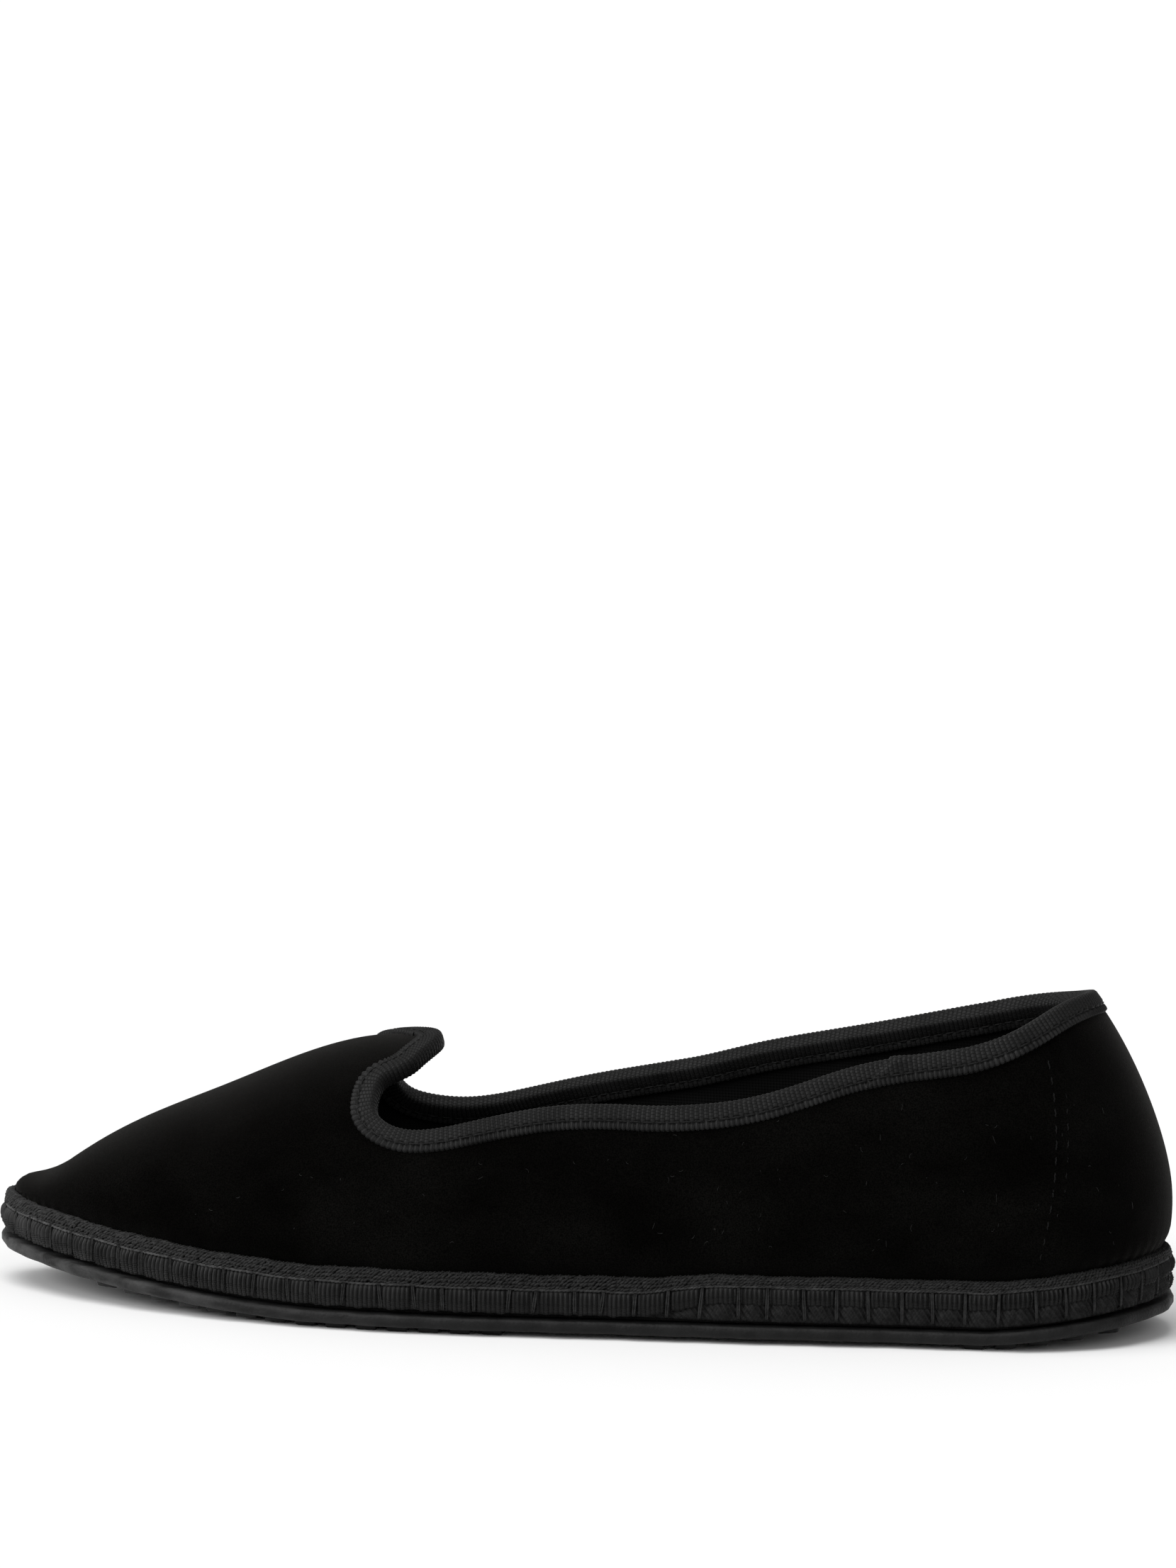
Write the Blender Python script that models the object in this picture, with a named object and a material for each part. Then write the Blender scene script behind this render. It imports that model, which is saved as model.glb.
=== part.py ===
"""Venetian slipper: a velvet slip-on with a pointed tongue, a bound topline, a taped textile midsole
and a lugged rubber outsole. Metres, +Z up, toe at -X, outer side of the left foot at -Y, floor at Z = 0.
"""

import math

import bmesh
import bpy
import numpy as np
from mathutils import Vector

# Driving sizes, in metres.
LENGTH = 0.252
BALL_WIDTH = 0.084
WAIST_WIDTH = 0.070
HEEL_WIDTH = 0.064
TOE_RADIUS = 0.0135
HEEL_RADIUS = 0.027
TOE_SPRING = 0.0068
TOE_BREAK = 0.31
TOE_CURVE = 1.5
HEEL_BEVEL = 0.0041
HEEL_BREAK = 0.86
HEEL_CURVE = 1.15
TOE_SWING = 0.004

LUG_DEPTH = 0.0012
LUG_PITCH = 0.0066
LUG_LENGTH = 0.0046
LUG_WIDTH = 0.0125
LUG_GAP = 0.0020
LUG_CORNER = 0.0012
LUG_DRAFT = 0.0003
LUG_EDGE = 0.0020
LUG_ROOT = 0.0006
OUTSOLE_THICKNESS = 0.0027
OUTSOLE_ROUNDING = 0.0007
MIDSOLE_THICKNESS = 0.0052
INSOLE_THICKNESS = 0.0022
LEDGE_REACH = 0.0016
HEEL_LAYERS = 0.0012
LAYERS_FROM = 0.57
LAYERS_EASE = 0.08

TAPE_THICKNESS = 0.0014
TAPE_BULGE = 0.0009
TAPE_HEIGHT = 0.0077
TAPE_RISE = 0.0011
TAPE_HEEL_RISE = 0.0022

UPPER_INSET = 0.0032
UPPER_WALL = 0.0018
INSTEP_HEIGHT = 0.0437
BACK_HEIGHT = 0.0820
BACK_LEAN = 0.0630
TOE_WALL_HEIGHT = 0.0031
TOE_WALL_DEPTH = 0.0040
TOE_WALL_CURVE = 2.4
SWELL = 0.0021
HEEL_SWELL = 0.0015
SWELL_HEIGHT = 0.0155

BINDING_WIDTH = 0.0053
BINDING_THICKNESS = 0.0008
FOLD_CORNER = 0.3
CLEARANCE = 0.0003

# Mesh fineness.
OUTLINE_STEPS = 72
TIP_STEPS = 8
WALL_STEPS = 8
WALL_EASE = 1.6
FAN_REACH = 0.08

# Outline of the sole. Each row's widths are shares of the named width that it follows.
OUTLINE = (
    # along, width, outer share, inner share
    (0.06, BALL_WIDTH, 0.244, 0.222),
    (0.15, BALL_WIDTH, 0.385, 0.355),
    (0.28, BALL_WIDTH, 0.490, 0.465),
    (0.40, BALL_WIDTH, 0.512, 0.488),
    (0.55, WAIST_WIDTH, 0.565, 0.490),
    (0.70, WAIST_WIDTH, 0.520, 0.445),
    (0.85, HEEL_WIDTH, 0.510, 0.460),
    (0.95, HEEL_WIDTH, 0.390, 0.372),
)

# Height of the last's ridge over the tape, as a share of the instep's height and of the height of the
# back, whose top lies above the opening, and how far the ridge stands inwards, as a share of the toe's.
RIDGE = (
    # along, instep share, back share, sideways share
    (0.00, 0.00, 0.00, 1.00),
    (0.035, 0.07, 0.00, 1.00),
    (0.06, 0.18, 0.00, 1.05),
    (0.12, 0.43, 0.00, 1.10),
    (0.18, 0.63, 0.00, 1.15),
    (0.24, 0.81, 0.00, 1.10),
    (0.30, 0.94, 0.00, 0.95),
    (0.345, 0.985, 0.00, 0.80),
    (0.38, 0.98, 0.015, 0.70),
    (0.50, 0.92, 0.22, 0.45),
    (0.65, 0.54, 0.58, 0.20),
    (0.80, 0.21, 0.84, 0.00),
    (1.00, 0.00, 1.00, 0.00),
)

# Edge of the upper from the back of the heel, along each side and round the notch, to the tongue.
# "foot" is the turn round the outline where the wall line that ends in this row starts, 180 at the
# heel and 0 at the toe's tip, and below 0 it climbs round that tip. "climb" is the angle up the
# last's side, 0 at the tape and 90 at the ridge. Angles are in degrees.
EDGE = (
    # foot, outer along, outer climb, inner along, inner climb
    (180, 1.000, 41.8, 1.000, 41.8),
    (157, 0.965, 41.0, 0.965, 40.4),
    (136, 0.870, 36.0, 0.870, 38.8),
    (119, 0.755, 33.4, 0.755, 35.8),
    (104, 0.645, 29.4, 0.640, 33.7),
    (90, 0.525, 34.0, 0.520, 32.8),
    (80, 0.440, 37.0, 0.435, 33.6),
    (71, 0.378, 38.3, 0.370, 33.6),
    (64, 0.351, 42.5, 0.336, 36.0),
    (54, 0.341, 50.0, 0.318, 43.0),
    (42, 0.342, 57.5, 0.313, 53.0),
    (25, 0.354, 62.5, 0.321, 66.0),
    (-20, 0.369, 70.0, 0.348, 83.0),
    (-90, 0.377, 84.0, 0.377, 84.0),
)

# Stretches of the sole that carry lugs.
LUG_FIELDS = (
    # from along, to along
    (0.10, 0.475),
    (0.83, 0.975),
)

# Section of the tape from its inner foot, out and up, to its inner top.
TAPE_SECTION = (
    # thickness share, bulge share, height share
    (0.00, 0.00, 0.00),
    (1.00, 0.00, 0.00),
    (1.00, 0.90, 0.16),
    (1.00, 1.00, 0.42),
    (1.00, 0.10, 0.64),
    (1.00, 0.45, 0.78),
    (0.70, 0.00, 1.00),
    (0.00, 0.00, 1.00),
)


def spline(places, values):
    """Natural cubic through the given places and values."""
    places = np.array(places, float)
    values = np.array(values, float)
    count = len(places)
    gaps = np.diff(places)
    matrix = np.eye(count)
    right = np.zeros(count)
    for i in range(1, count - 1):
        matrix[i, i - 1 : i + 2] = gaps[i - 1], 2 * (gaps[i - 1] + gaps[i]), gaps[i]
        right[i] = 6 * ((values[i + 1] - values[i]) / gaps[i] - (values[i] - values[i - 1]) / gaps[i - 1])
    bends = np.linalg.solve(matrix, right)

    def at(place):
        place = min(max(place, places[0]), places[-1])
        i = min(int(np.searchsorted(places, place, side="right")) - 1, count - 2)
        gap, ahead, behind = gaps[i], places[i + 1] - place, place - places[i]
        cubic = (bends[i] * ahead**3 + bends[i + 1] * behind**3) / (6 * gap)
        start = values[i] / gap - bends[i] * gap / 6
        end = values[i + 1] / gap - bends[i + 1] * gap / 6
        return float(cubic + start * ahead + end * behind)

    return at


def column(rows, place, index):
    return spline([row[place] for row in rows], [row[index] for row in rows])


def side_of_outline(index):
    """Half width of one side over the half-round of its ends, so that both ends close as arcs."""
    places = [0.0]
    values = [math.sqrt(2 * TOE_RADIUS * LENGTH)]
    for row in OUTLINE:
        places.append(row[0])
        values.append(row[1] * row[index] / math.sqrt(row[0] * (1 - row[0])))
    places.append(1.0)
    values.append(math.sqrt(2 * HEEL_RADIUS * LENGTH))
    return spline(places, values)


OUTER_SIDE = side_of_outline(2)
INNER_SIDE = side_of_outline(3)
INSTEP_SHARE = column(RIDGE, 0, 1)
BACK_SHARE = column(RIDGE, 0, 2)
RIDGE_SIDEWAYS = column(RIDGE, 0, 3)

OUTSOLE_TOP = LUG_DEPTH + OUTSOLE_THICKNESS
MIDSOLE_FOOT = OUTSOLE_TOP + CLEARANCE
MIDSOLE_TOP = MIDSOLE_FOOT + MIDSOLE_THICKNESS
FEATHER_HEIGHT = MIDSOLE_TOP + CLEARANCE
TAPE_INSET = UPPER_INSET - CLEARANCE
TAPE_FOOT = OUTSOLE_TOP + TAPE_RISE
TAPE_TOP = TAPE_FOOT + TAPE_HEIGHT


def turn_of(along):
    """Angle round the outline for a share of the length: 0 at the toe's tip and pi at the heel."""
    return math.acos(max(-1.0, min(1.0, 1 - 2 * along)))


def along_of(turn):
    return (1 - math.cos(turn)) / 2


def along_of_x(x):
    return min(max(x / LENGTH + 0.5, 0.0), 1.0)


def lift(x):
    """How far the sole is off the floor here: the toe's spring, and the bevel under the heel's end."""
    along = along_of_x(x)
    toe = max(TOE_BREAK - along, 0.0) / TOE_BREAK
    heel = max(along - HEEL_BREAK, 0.0) / (1 - HEEL_BREAK)
    return TOE_SPRING * toe**TOE_CURVE + HEEL_BEVEL * heel**HEEL_CURVE


def heel_part(x):
    """0 in front of the waist and 1 behind it, where the layers show under the tape."""
    share = (along_of_x(x) - LAYERS_FROM) / LAYERS_EASE
    share = min(max(share, 0.0), 1.0)
    return share * share * (3 - 2 * share)


def stack(x):
    """How far what stands on the midsole is raised here."""
    return lift(x) + HEEL_LAYERS * heel_part(x)


def rim(turn):
    """Point of the sole's outline: the outer side for turns under pi, then the inner side back."""
    along = along_of(turn)
    side = OUTER_SIDE if math.sin(turn) >= 0 else INNER_SIDE
    swing = TOE_SWING * (1 - along) ** 3
    return Vector((LENGTH * (along - 0.5), swing - side(along) * math.sin(turn) / 2))


def outward(turn):
    step = 0.002
    run = rim(turn + step) - rim(turn - step)
    return Vector((run.y, -run.x)).normalized()


def outline(turn, inset):
    """Outline moved inwards by this much."""
    return rim(turn) - outward(turn) * inset


def ridge_height(along, inset):
    """Height of the last's ridge over the feather. The lining thins out into the toe's tip."""
    toe = min(along * LENGTH / TOE_WALL_DEPTH, 1.0)
    wall = TOE_WALL_HEIGHT * (1 - (1 - toe) ** TOE_WALL_CURVE) ** (1 / TOE_WALL_CURVE)
    instep = (INSTEP_HEIGHT - TOE_WALL_HEIGHT) * INSTEP_SHARE(along)
    height = wall + instep + (BACK_HEIGHT - TOE_WALL_HEIGHT) * BACK_SHARE(along)
    return height * height / (height + inset) if height > 0 else 0.0


def ridge_place(along, inset):
    """Place of the ridge in plan: over the middle of the foot, then leaning in over the heel."""
    half = LENGTH / 2
    if along < 0.5:
        x = -(half - UPPER_INSET - inset) * (1 - 2 * along)
    else:
        back = 2 * along - 1
        x = half * back - (BACK_LEAN + UPPER_INSET + inset) * back * back
    return Vector((x, TOE_SWING * RIDGE_SIDEWAYS(along)))


def last(turn, climb, inset=0.0):
    """Point of the upper. turn runs round the outline, and climb goes from 0 at the tape's outer side
    over the ridge, at pi / 2, to pi at its inner side. inset is into the wall.
    """
    along = along_of(turn)
    outer = climb <= math.pi / 2
    around = turn if outer else 2 * math.pi - turn
    rise = climb if outer else math.pi - climb
    foot = outline(around, UPPER_INSET + inset)
    ridge = ridge_place(along, inset)
    spread = math.cos(rise)
    base = stack(foot.x)
    level = base + (ridge_height(along, inset) + stack(ridge.x) - base) * math.sin(rise)
    above = max(level - base, 0.0) / SWELL_HEIGHT
    most = SWELL + HEEL_SWELL * BACK_SHARE(along)
    swell = most * above * math.exp(1 - above) * spread
    plan = ridge + (foot - ridge) * spread + outward(around) * swell
    return Vector((plan.x, plan.y, TAPE_TOP + level))


def feather(turn, climb, inset=0.0):
    """Foot of the upper, behind the tape, under the same point of the outline."""
    around = turn if climb <= math.pi / 2 else 2 * math.pi - turn
    foot = outline(around, UPPER_INSET + inset)
    return Vector((foot.x, foot.y, FEATHER_HEIGHT + stack(foot.x)))


def surface_frame(turn, climb):
    """Directions on the last for a small change of turn and of climb, and the way out of it."""
    step = 0.001
    by_turn = (last(turn + step, climb) - last(turn - step, climb)) / (2 * step)
    by_climb = (last(turn, climb + step) - last(turn, climb - step)) / (2 * step)
    out = by_turn.cross(by_climb).normalized()
    return by_turn, by_climb, out


def edge_curves():
    """Turn and climb of the upper's edge, for a foot that goes from 180 at the heel down the outer side
    to 0 at the toe, on to -180 round its tip, and down to -360 at the heel again by the inner side.
    """
    outer = [(180 - r[0], turn_of(r[1]), math.radians(r[2])) for r in EDGE]
    inner = [(360 + r[0], turn_of(r[3]), math.pi - math.radians(r[4])) for r in reversed(EDGE[:-1])]
    before = (-outer[1][0], 2 * math.pi - outer[1][1], outer[1][2])
    after = (1080 - inner[-2][0], 2 * math.pi - inner[-2][1], inner[-2][2])
    rows = [before] + outer + inner + [after]
    return column(rows, 0, 1), column(rows, 0, 2)


def foot_of(foot):
    """Turn and climb where the wall line of this foot starts."""
    if foot >= -90:
        return math.radians(max(foot, 0.0)), math.radians(max(-foot, 0.0))
    return math.radians(max(-180 - foot, 0.0)), math.pi - math.radians(max(180 + foot, 0.0))


def edge_loop():
    """Foot and top of each wall line, each a (turn, climb) pair, from the back of the heel round the
    outer side, the tongue and the inner side.
    """
    turns, climbs = edge_curves()
    half = OUTLINE_STEPS // 2
    feet = [180 - 180 * k / half for k in range(half)]
    feet += [-180 * k / TIP_STEPS for k in range(TIP_STEPS)]
    feet += [-180 - 180 * k / half for k in range(half)]
    return [(foot_of(foot), (turns(180 - foot), climbs(180 - foot))) for foot in feet]


def wall_line(foot, top, share, inset):
    """Point part of the way from a wall line's foot to its top."""
    along_foot, along_top = along_of(foot[0]), along_of(top[0])
    ease = share ** (1 + max(0.0, 1 - along_foot / FAN_REACH))
    turn = turn_of(along_foot + (along_top - along_foot) * ease)
    if foot[0] > math.pi / 2:
        turn = foot[0] + (top[0] - foot[0]) * share
    climb = foot[1] + (top[1] - foot[1]) * share
    return last(turn, climb, inset)


def clear_scene():
    for item in list(bpy.data.objects):
        bpy.data.objects.remove(item)


def material(name, colour, roughness):
    made = bpy.data.materials.new(name)
    made.use_nodes = True
    shader = made.node_tree.nodes["Principled BSDF"]
    shader.inputs["Base Color"].default_value = (*colour, 1)
    shader.inputs["Roughness"].default_value = roughness
    shader.inputs["Metallic"].default_value = 0.0
    return made


def add_object(name, mesh, finish):
    bmesh.ops.remove_doubles(mesh, verts=mesh.verts, dist=0.000002)
    bmesh.ops.recalc_face_normals(mesh, faces=mesh.faces)
    if mesh.calc_volume(signed=True) < 0:
        bmesh.ops.reverse_faces(mesh, faces=mesh.faces)
    data = bpy.data.meshes.new(name)
    mesh.to_mesh(data)
    mesh.free()
    data.materials.append(finish)
    data.shade_smooth()
    data.set_sharp_from_angle(angle=math.radians(40))
    made = bpy.data.objects.new(name, data)
    bpy.context.scene.collection.objects.link(made)
    return made


def tube_of_rings(rings, closed):
    """Mesh through rings of equal length. closed joins the last ring to the first."""
    mesh = bmesh.new()
    grid = [[mesh.verts.new(point) for point in ring] for ring in rings]
    count = len(rings[0])
    for a in range(len(grid) if closed else len(grid) - 1):
        near, far = grid[a], grid[(a + 1) % len(grid)]
        for b in range(count):
            c = (b + 1) % count
            mesh.faces.new((near[b], near[c], far[c], far[b]))
    return mesh


def make_upper(finish):
    """Hollow shell: up the outside of each wall line, over the edge and down the inside, in steps that
    grow finer towards the edge.
    """
    shares = [1 - (1 - i / WALL_STEPS) ** WALL_EASE for i in range(WALL_STEPS + 1)]
    rings = []
    for foot, top in edge_loop():
        outside = [feather(*foot)] + [wall_line(foot, top, share, 0.0) for share in shares]
        inside = [wall_line(foot, top, share, UPPER_WALL) for share in reversed(shares)]
        rings.append(outside + inside + [feather(*foot, UPPER_WALL)])
    return add_object("upper", tube_of_rings(rings, closed=True), finish)


def make_binding(finish):
    """Folded tape over the upper's edge: its outer leg, its fold and its inner leg."""
    loop = edge_loop()
    leg = BINDING_WIDTH - CLEARANCE - BINDING_THICKNESS
    near, far = CLEARANCE, CLEARANCE + BINDING_THICKNESS
    fold = far - BINDING_THICKNESS * FOLD_CORNER
    half = UPPER_WALL / 2
    section = (
        # into the upper from its edge, out of the wall's middle
        (leg / 2, half + near),
        (leg, half + near),
        (leg, half + far),
        (leg / 2, half + far),
        (0.0, half + far),
        (-fold, half),
        (-far, 0.0),
        (-fold, -half),
        (0.0, -half - far),
        (leg, -half - far),
        (leg, -half - near),
        (-near, -half - near),
        (-near, half + near),
    )
    rings = []
    for k, (foot, top) in enumerate(loop):
        before, after = loop[k - 1][1], loop[(k + 1) % len(loop)][1]
        run = last(*after) - last(*before)
        by_turn, by_climb, out = surface_frame(*top)
        into = out.cross(run).normalized()
        if into.dot(wall_line(foot, top, 1 - 1 / WALL_STEPS, 0.0) - last(*top)) < 0:
            into.negate()
        scale, _, _, _ = np.linalg.lstsq(np.array([by_turn, by_climb]).T, np.array(into), rcond=None)
        ring = []
        for depth, reach in section:
            turn = top[0] + float(scale[0]) * depth
            climb = top[1] + float(scale[1]) * depth
            way = surface_frame(turn, climb)[2]
            if abs(reach) < half:
                ring.append((last(turn, climb) + last(turn, climb, UPPER_WALL)) / 2)
            else:
                side = last(turn, climb, 0.0 if reach > 0 else UPPER_WALL)
                ring.append(side + way * (reach - math.copysign(half, reach)))
        rings.append(ring)
    return add_object("topline_binding", tube_of_rings(rings, closed=True), finish)


def make_tape(finish):
    """Ribbed tape round the edge of the midsole, drawn in along its stitch line."""
    rings = []
    for k in range(OUTLINE_STEPS):
        turn = 2 * math.pi * k / OUTLINE_STEPS
        ring = []
        for thick, bulge, up in TAPE_SECTION:
            point = outline(turn, TAPE_INSET - TAPE_THICKNESS * thick - TAPE_BULGE * bulge)
            foot = TAPE_FOOT + TAPE_HEEL_RISE * heel_part(point.x)
            ring.append(Vector((point.x, point.y, foot + (TAPE_TOP - foot) * up + stack(point.x))))
        rings.append(ring)
    return add_object("rand_tape", tube_of_rings(rings, closed=True), finish)


def slab(profile):
    """Solid with the sole's outline. Each profile row gives an inset and a height, bottom to top, as
    functions of the place along the sole.
    """
    rings = []
    for inset_at, height_at in profile:
        ring = []
        for k in range(OUTLINE_STEPS):
            turn = 2 * math.pi * k / OUTLINE_STEPS
            point = outline(turn, inset_at(rim(turn).x))
            ring.append(Vector((point.x, point.y, height_at(point.x))))
        rings.append(ring)
    mesh = tube_of_rings(rings, closed=False)
    mesh.verts.ensure_lookup_table()
    for first in (0, (len(rings) - 1) * OUTLINE_STEPS):
        fill_across(mesh, [mesh.verts[first + k] for k in range(OUTLINE_STEPS)])
    return mesh


def fill_across(mesh, ring):
    """Closes an outline with strips from its outer side to its inner side."""
    count = len(ring)
    for k in range(1, count // 2 + 1):
        corners = []
        for corner in (ring[k - 1], ring[k], ring[-k], ring[(count - k + 1) % count]):
            if corner not in corners:
                corners.append(corner)
        mesh.faces.new(corners)


def fixed(value):
    return lambda x: value


def off_floor(height):
    return lambda x: height + lift(x)


def on_stack(height):
    return lambda x: height + stack(x)


def make_insole(finish):
    inset = fixed(UPPER_INSET + UPPER_WALL + CLEARANCE)
    profile = (
        (inset, on_stack(FEATHER_HEIGHT)),
        (inset, on_stack(FEATHER_HEIGHT + INSOLE_THICKNESS)),
    )
    return add_object("insole", slab(profile), finish)


def make_midsole(finish):
    """Textile core. Its layers stand out as a ledge under the tape along the heel half."""
    core = fixed(UPPER_INSET)

    def ledge(x):
        return UPPER_INSET - LEDGE_REACH * heel_part(x)

    def layer(share):
        def height(x):
            under_tape = TAPE_RISE - 2 * CLEARANCE + (TAPE_HEEL_RISE + HEEL_LAYERS) * heel_part(x)
            return MIDSOLE_FOOT + lift(x) + under_tape * share

        return height

    profile = (
        (core, layer(0.0)),
        (ledge, layer(0.3)),
        (ledge, layer(0.9)),
        (core, layer(1.0)),
        (core, on_stack(MIDSOLE_TOP)),
    )
    return add_object("midsole", slab(profile), finish)


def lug_rows():
    """Middle of each row of lugs along the sole."""
    rows = []
    for start, end in LUG_FIELDS:
        span = (end - start) * LENGTH
        count = int(span // LUG_PITCH)
        first = (start + end - 1) / 2 * LENGTH - (count - 1) * LUG_PITCH / 2
        rows += [first + k * LUG_PITCH for k in range(count)]
    return rows


def side_limits(x):
    """How far the sole reaches to each side here, less the margin that the lugs keep."""
    turn = turn_of(along_of_x(x))
    outer = rim(turn).y + LUG_EDGE
    inner = rim(2 * math.pi - turn).y - LUG_EDGE
    return outer, inner


def add_lug(mesh, x, y, half_length, half_width):
    """One lug: a block with cut corners, tapered a little, rooted in the sole."""
    cut = LUG_CORNER
    corners = (
        (-half_length, -half_width + cut),
        (-half_length + cut, -half_width),
        (half_length - cut, -half_width),
        (half_length, -half_width + cut),
        (half_length, half_width - cut),
        (half_length - cut, half_width),
        (-half_length + cut, half_width),
        (-half_length, half_width - cut),
    )
    rings = []
    for height, shrink in ((0.0, LUG_DRAFT), (LUG_DEPTH + LUG_ROOT, 0.0)):
        ring = []
        for dx, dy in corners:
            px = x + dx * (1 - shrink / half_length)
            py = y + dy * (1 - shrink / half_width)
            ring.append(mesh.verts.new((px, py, height + lift(px))))
        rings.append(ring)
    count = len(corners)
    for k in range(count):
        n = (k + 1) % count
        mesh.faces.new((rings[0][k], rings[0][n], rings[1][n], rings[1][k]))
    mesh.faces.new(rings[0][::-1])
    mesh.faces.new(rings[1])


def make_lugs(finish):
    mesh = bmesh.new()
    half_length = LUG_LENGTH / 2
    for x in lug_rows():
        fore, aft = side_limits(x - half_length), side_limits(x + half_length)
        outer, inner = max(fore[0], aft[0]), min(fore[1], aft[1])
        width = inner - outer
        count = max(1, round((width + LUG_GAP) / (LUG_WIDTH + LUG_GAP)))
        lug = (width + LUG_GAP) / count - LUG_GAP
        for k in range(count):
            add_lug(mesh, x, outer + lug / 2 + k * (lug + LUG_GAP), half_length, lug / 2)
    lugs = add_object("lug_tool", mesh, finish)
    lugs.hide_render = True
    lugs.display_type = "WIRE"
    return lugs


def make_outsole(finish):
    """Rubber slab with rounded edges, and its lugs."""
    profile = (
        (fixed(OUTSOLE_ROUNDING), off_floor(LUG_DEPTH)),
        (fixed(0.0), off_floor(LUG_DEPTH + OUTSOLE_ROUNDING)),
        (fixed(0.0), off_floor(OUTSOLE_TOP - OUTSOLE_ROUNDING / 2)),
        (fixed(OUTSOLE_ROUNDING / 2), off_floor(OUTSOLE_TOP)),
    )
    outsole = add_object("outsole", slab(profile), finish)
    join = outsole.modifiers.new("lugs", "BOOLEAN")
    join.operation = "UNION"
    join.object = make_lugs(finish)
    return outsole


def build():
    clear_scene()
    velvet = material("velvet", (0.004, 0.004, 0.005), 0.9)
    grosgrain = material("grosgrain", (0.012, 0.012, 0.013), 0.7)
    textile = material("textile", (0.010, 0.010, 0.011), 0.9)
    lining = material("lining", (0.008, 0.008, 0.009), 0.85)
    rubber = material("rubber", (0.018, 0.018, 0.019), 0.55)
    make_upper(velvet)
    make_binding(grosgrain)
    make_tape(grosgrain)
    make_midsole(textile)
    make_insole(lining)
    make_outsole(rubber)


build()
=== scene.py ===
"""Looks of the venetian slipper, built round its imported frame. Metres, +Z up, toe at -X, outer side at -Y.

The shoe's form repeats the construction's own sizes and tables, so that each piece follows its solid.
"""

import math
import random

import bmesh
import bpy
import numpy as np
from mathutils import Matrix, Vector


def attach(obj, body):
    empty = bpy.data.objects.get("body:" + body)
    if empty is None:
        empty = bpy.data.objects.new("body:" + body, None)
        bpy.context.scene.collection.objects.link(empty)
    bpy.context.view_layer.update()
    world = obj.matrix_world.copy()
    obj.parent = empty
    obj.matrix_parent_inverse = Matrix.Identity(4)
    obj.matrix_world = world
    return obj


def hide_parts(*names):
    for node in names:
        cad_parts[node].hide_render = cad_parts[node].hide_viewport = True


# Camera of the photograph.
AZIMUTH = 10.5
ELEVATION = 9.3
ROLL = 0.7
DISTANCE = 1.55
PIXELS_PER_METRE = 6690.0
PHOTO_WIDTH, PHOTO_HEIGHT = 1659, 2212
TARGET = Vector((0.0, 0.0, 0.030))
TARGET_PIXEL = (823.0, 1642.5)
SENSOR = 36.0
FLOOR_SIZE = 400.0
WORLD_STRENGTH = 0.40

# The shoe's sizes, as in its construction.
LENGTH = 0.252
BALL_WIDTH = 0.084
WAIST_WIDTH = 0.070
HEEL_WIDTH = 0.064
TOE_RADIUS = 0.0135
HEEL_RADIUS = 0.027
TOE_SPRING = 0.0068
TOE_BREAK = 0.31
TOE_CURVE = 1.5
HEEL_BEVEL = 0.0041
HEEL_BREAK = 0.86
HEEL_CURVE = 1.15
TOE_SWING = 0.004
LUG_DEPTH = 0.0012
LUG_PITCH = 0.0066
LUG_LENGTH = 0.0046
LUG_WIDTH = 0.0125
LUG_GAP = 0.0020
LUG_EDGE = 0.0020
LUG_ROUND = 0.0006
OUTSOLE_THICKNESS = 0.0027
MIDSOLE_THICKNESS = 0.0052
INSOLE_THICKNESS = 0.0022
LEDGE_REACH = 0.0016
HEEL_LAYERS = 0.0012
LAYERS_FROM = 0.57
LAYERS_EASE = 0.08
TAPE_HEIGHT = 0.0077
TAPE_RISE = 0.0011
TAPE_HEEL_RISE = 0.0022
UPPER_INSET = 0.0032
UPPER_WALL = 0.0018
INSTEP_HEIGHT = 0.0437
BACK_HEIGHT = 0.0820
BACK_LEAN = 0.0630
TOE_WALL_HEIGHT = 0.0031
TOE_WALL_DEPTH = 0.0040
TOE_WALL_CURVE = 2.4
SWELL = 0.0021
HEEL_SWELL = 0.0015
SWELL_HEIGHT = 0.0155
BINDING_WIDTH = 0.0053
BINDING_THICKNESS = 0.0008
CLEARANCE = 0.0003

OUTLINE = (
    # along, width, outer share, inner share
    (0.06, BALL_WIDTH, 0.244, 0.222),
    (0.15, BALL_WIDTH, 0.385, 0.355),
    (0.28, BALL_WIDTH, 0.490, 0.465),
    (0.40, BALL_WIDTH, 0.512, 0.488),
    (0.55, WAIST_WIDTH, 0.565, 0.490),
    (0.70, WAIST_WIDTH, 0.520, 0.445),
    (0.85, HEEL_WIDTH, 0.510, 0.460),
    (0.95, HEEL_WIDTH, 0.390, 0.372),
)
RIDGE = (
    # along, instep share, back share, sideways share
    (0.00, 0.00, 0.00, 1.00),
    (0.035, 0.07, 0.00, 1.00),
    (0.06, 0.18, 0.00, 1.05),
    (0.12, 0.43, 0.00, 1.10),
    (0.18, 0.63, 0.00, 1.15),
    (0.24, 0.81, 0.00, 1.10),
    (0.30, 0.94, 0.00, 0.95),
    (0.345, 0.985, 0.00, 0.80),
    (0.38, 0.98, 0.015, 0.70),
    (0.50, 0.92, 0.22, 0.45),
    (0.65, 0.54, 0.58, 0.20),
    (0.80, 0.21, 0.84, 0.00),
    (1.00, 0.00, 1.00, 0.00),
)
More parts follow.
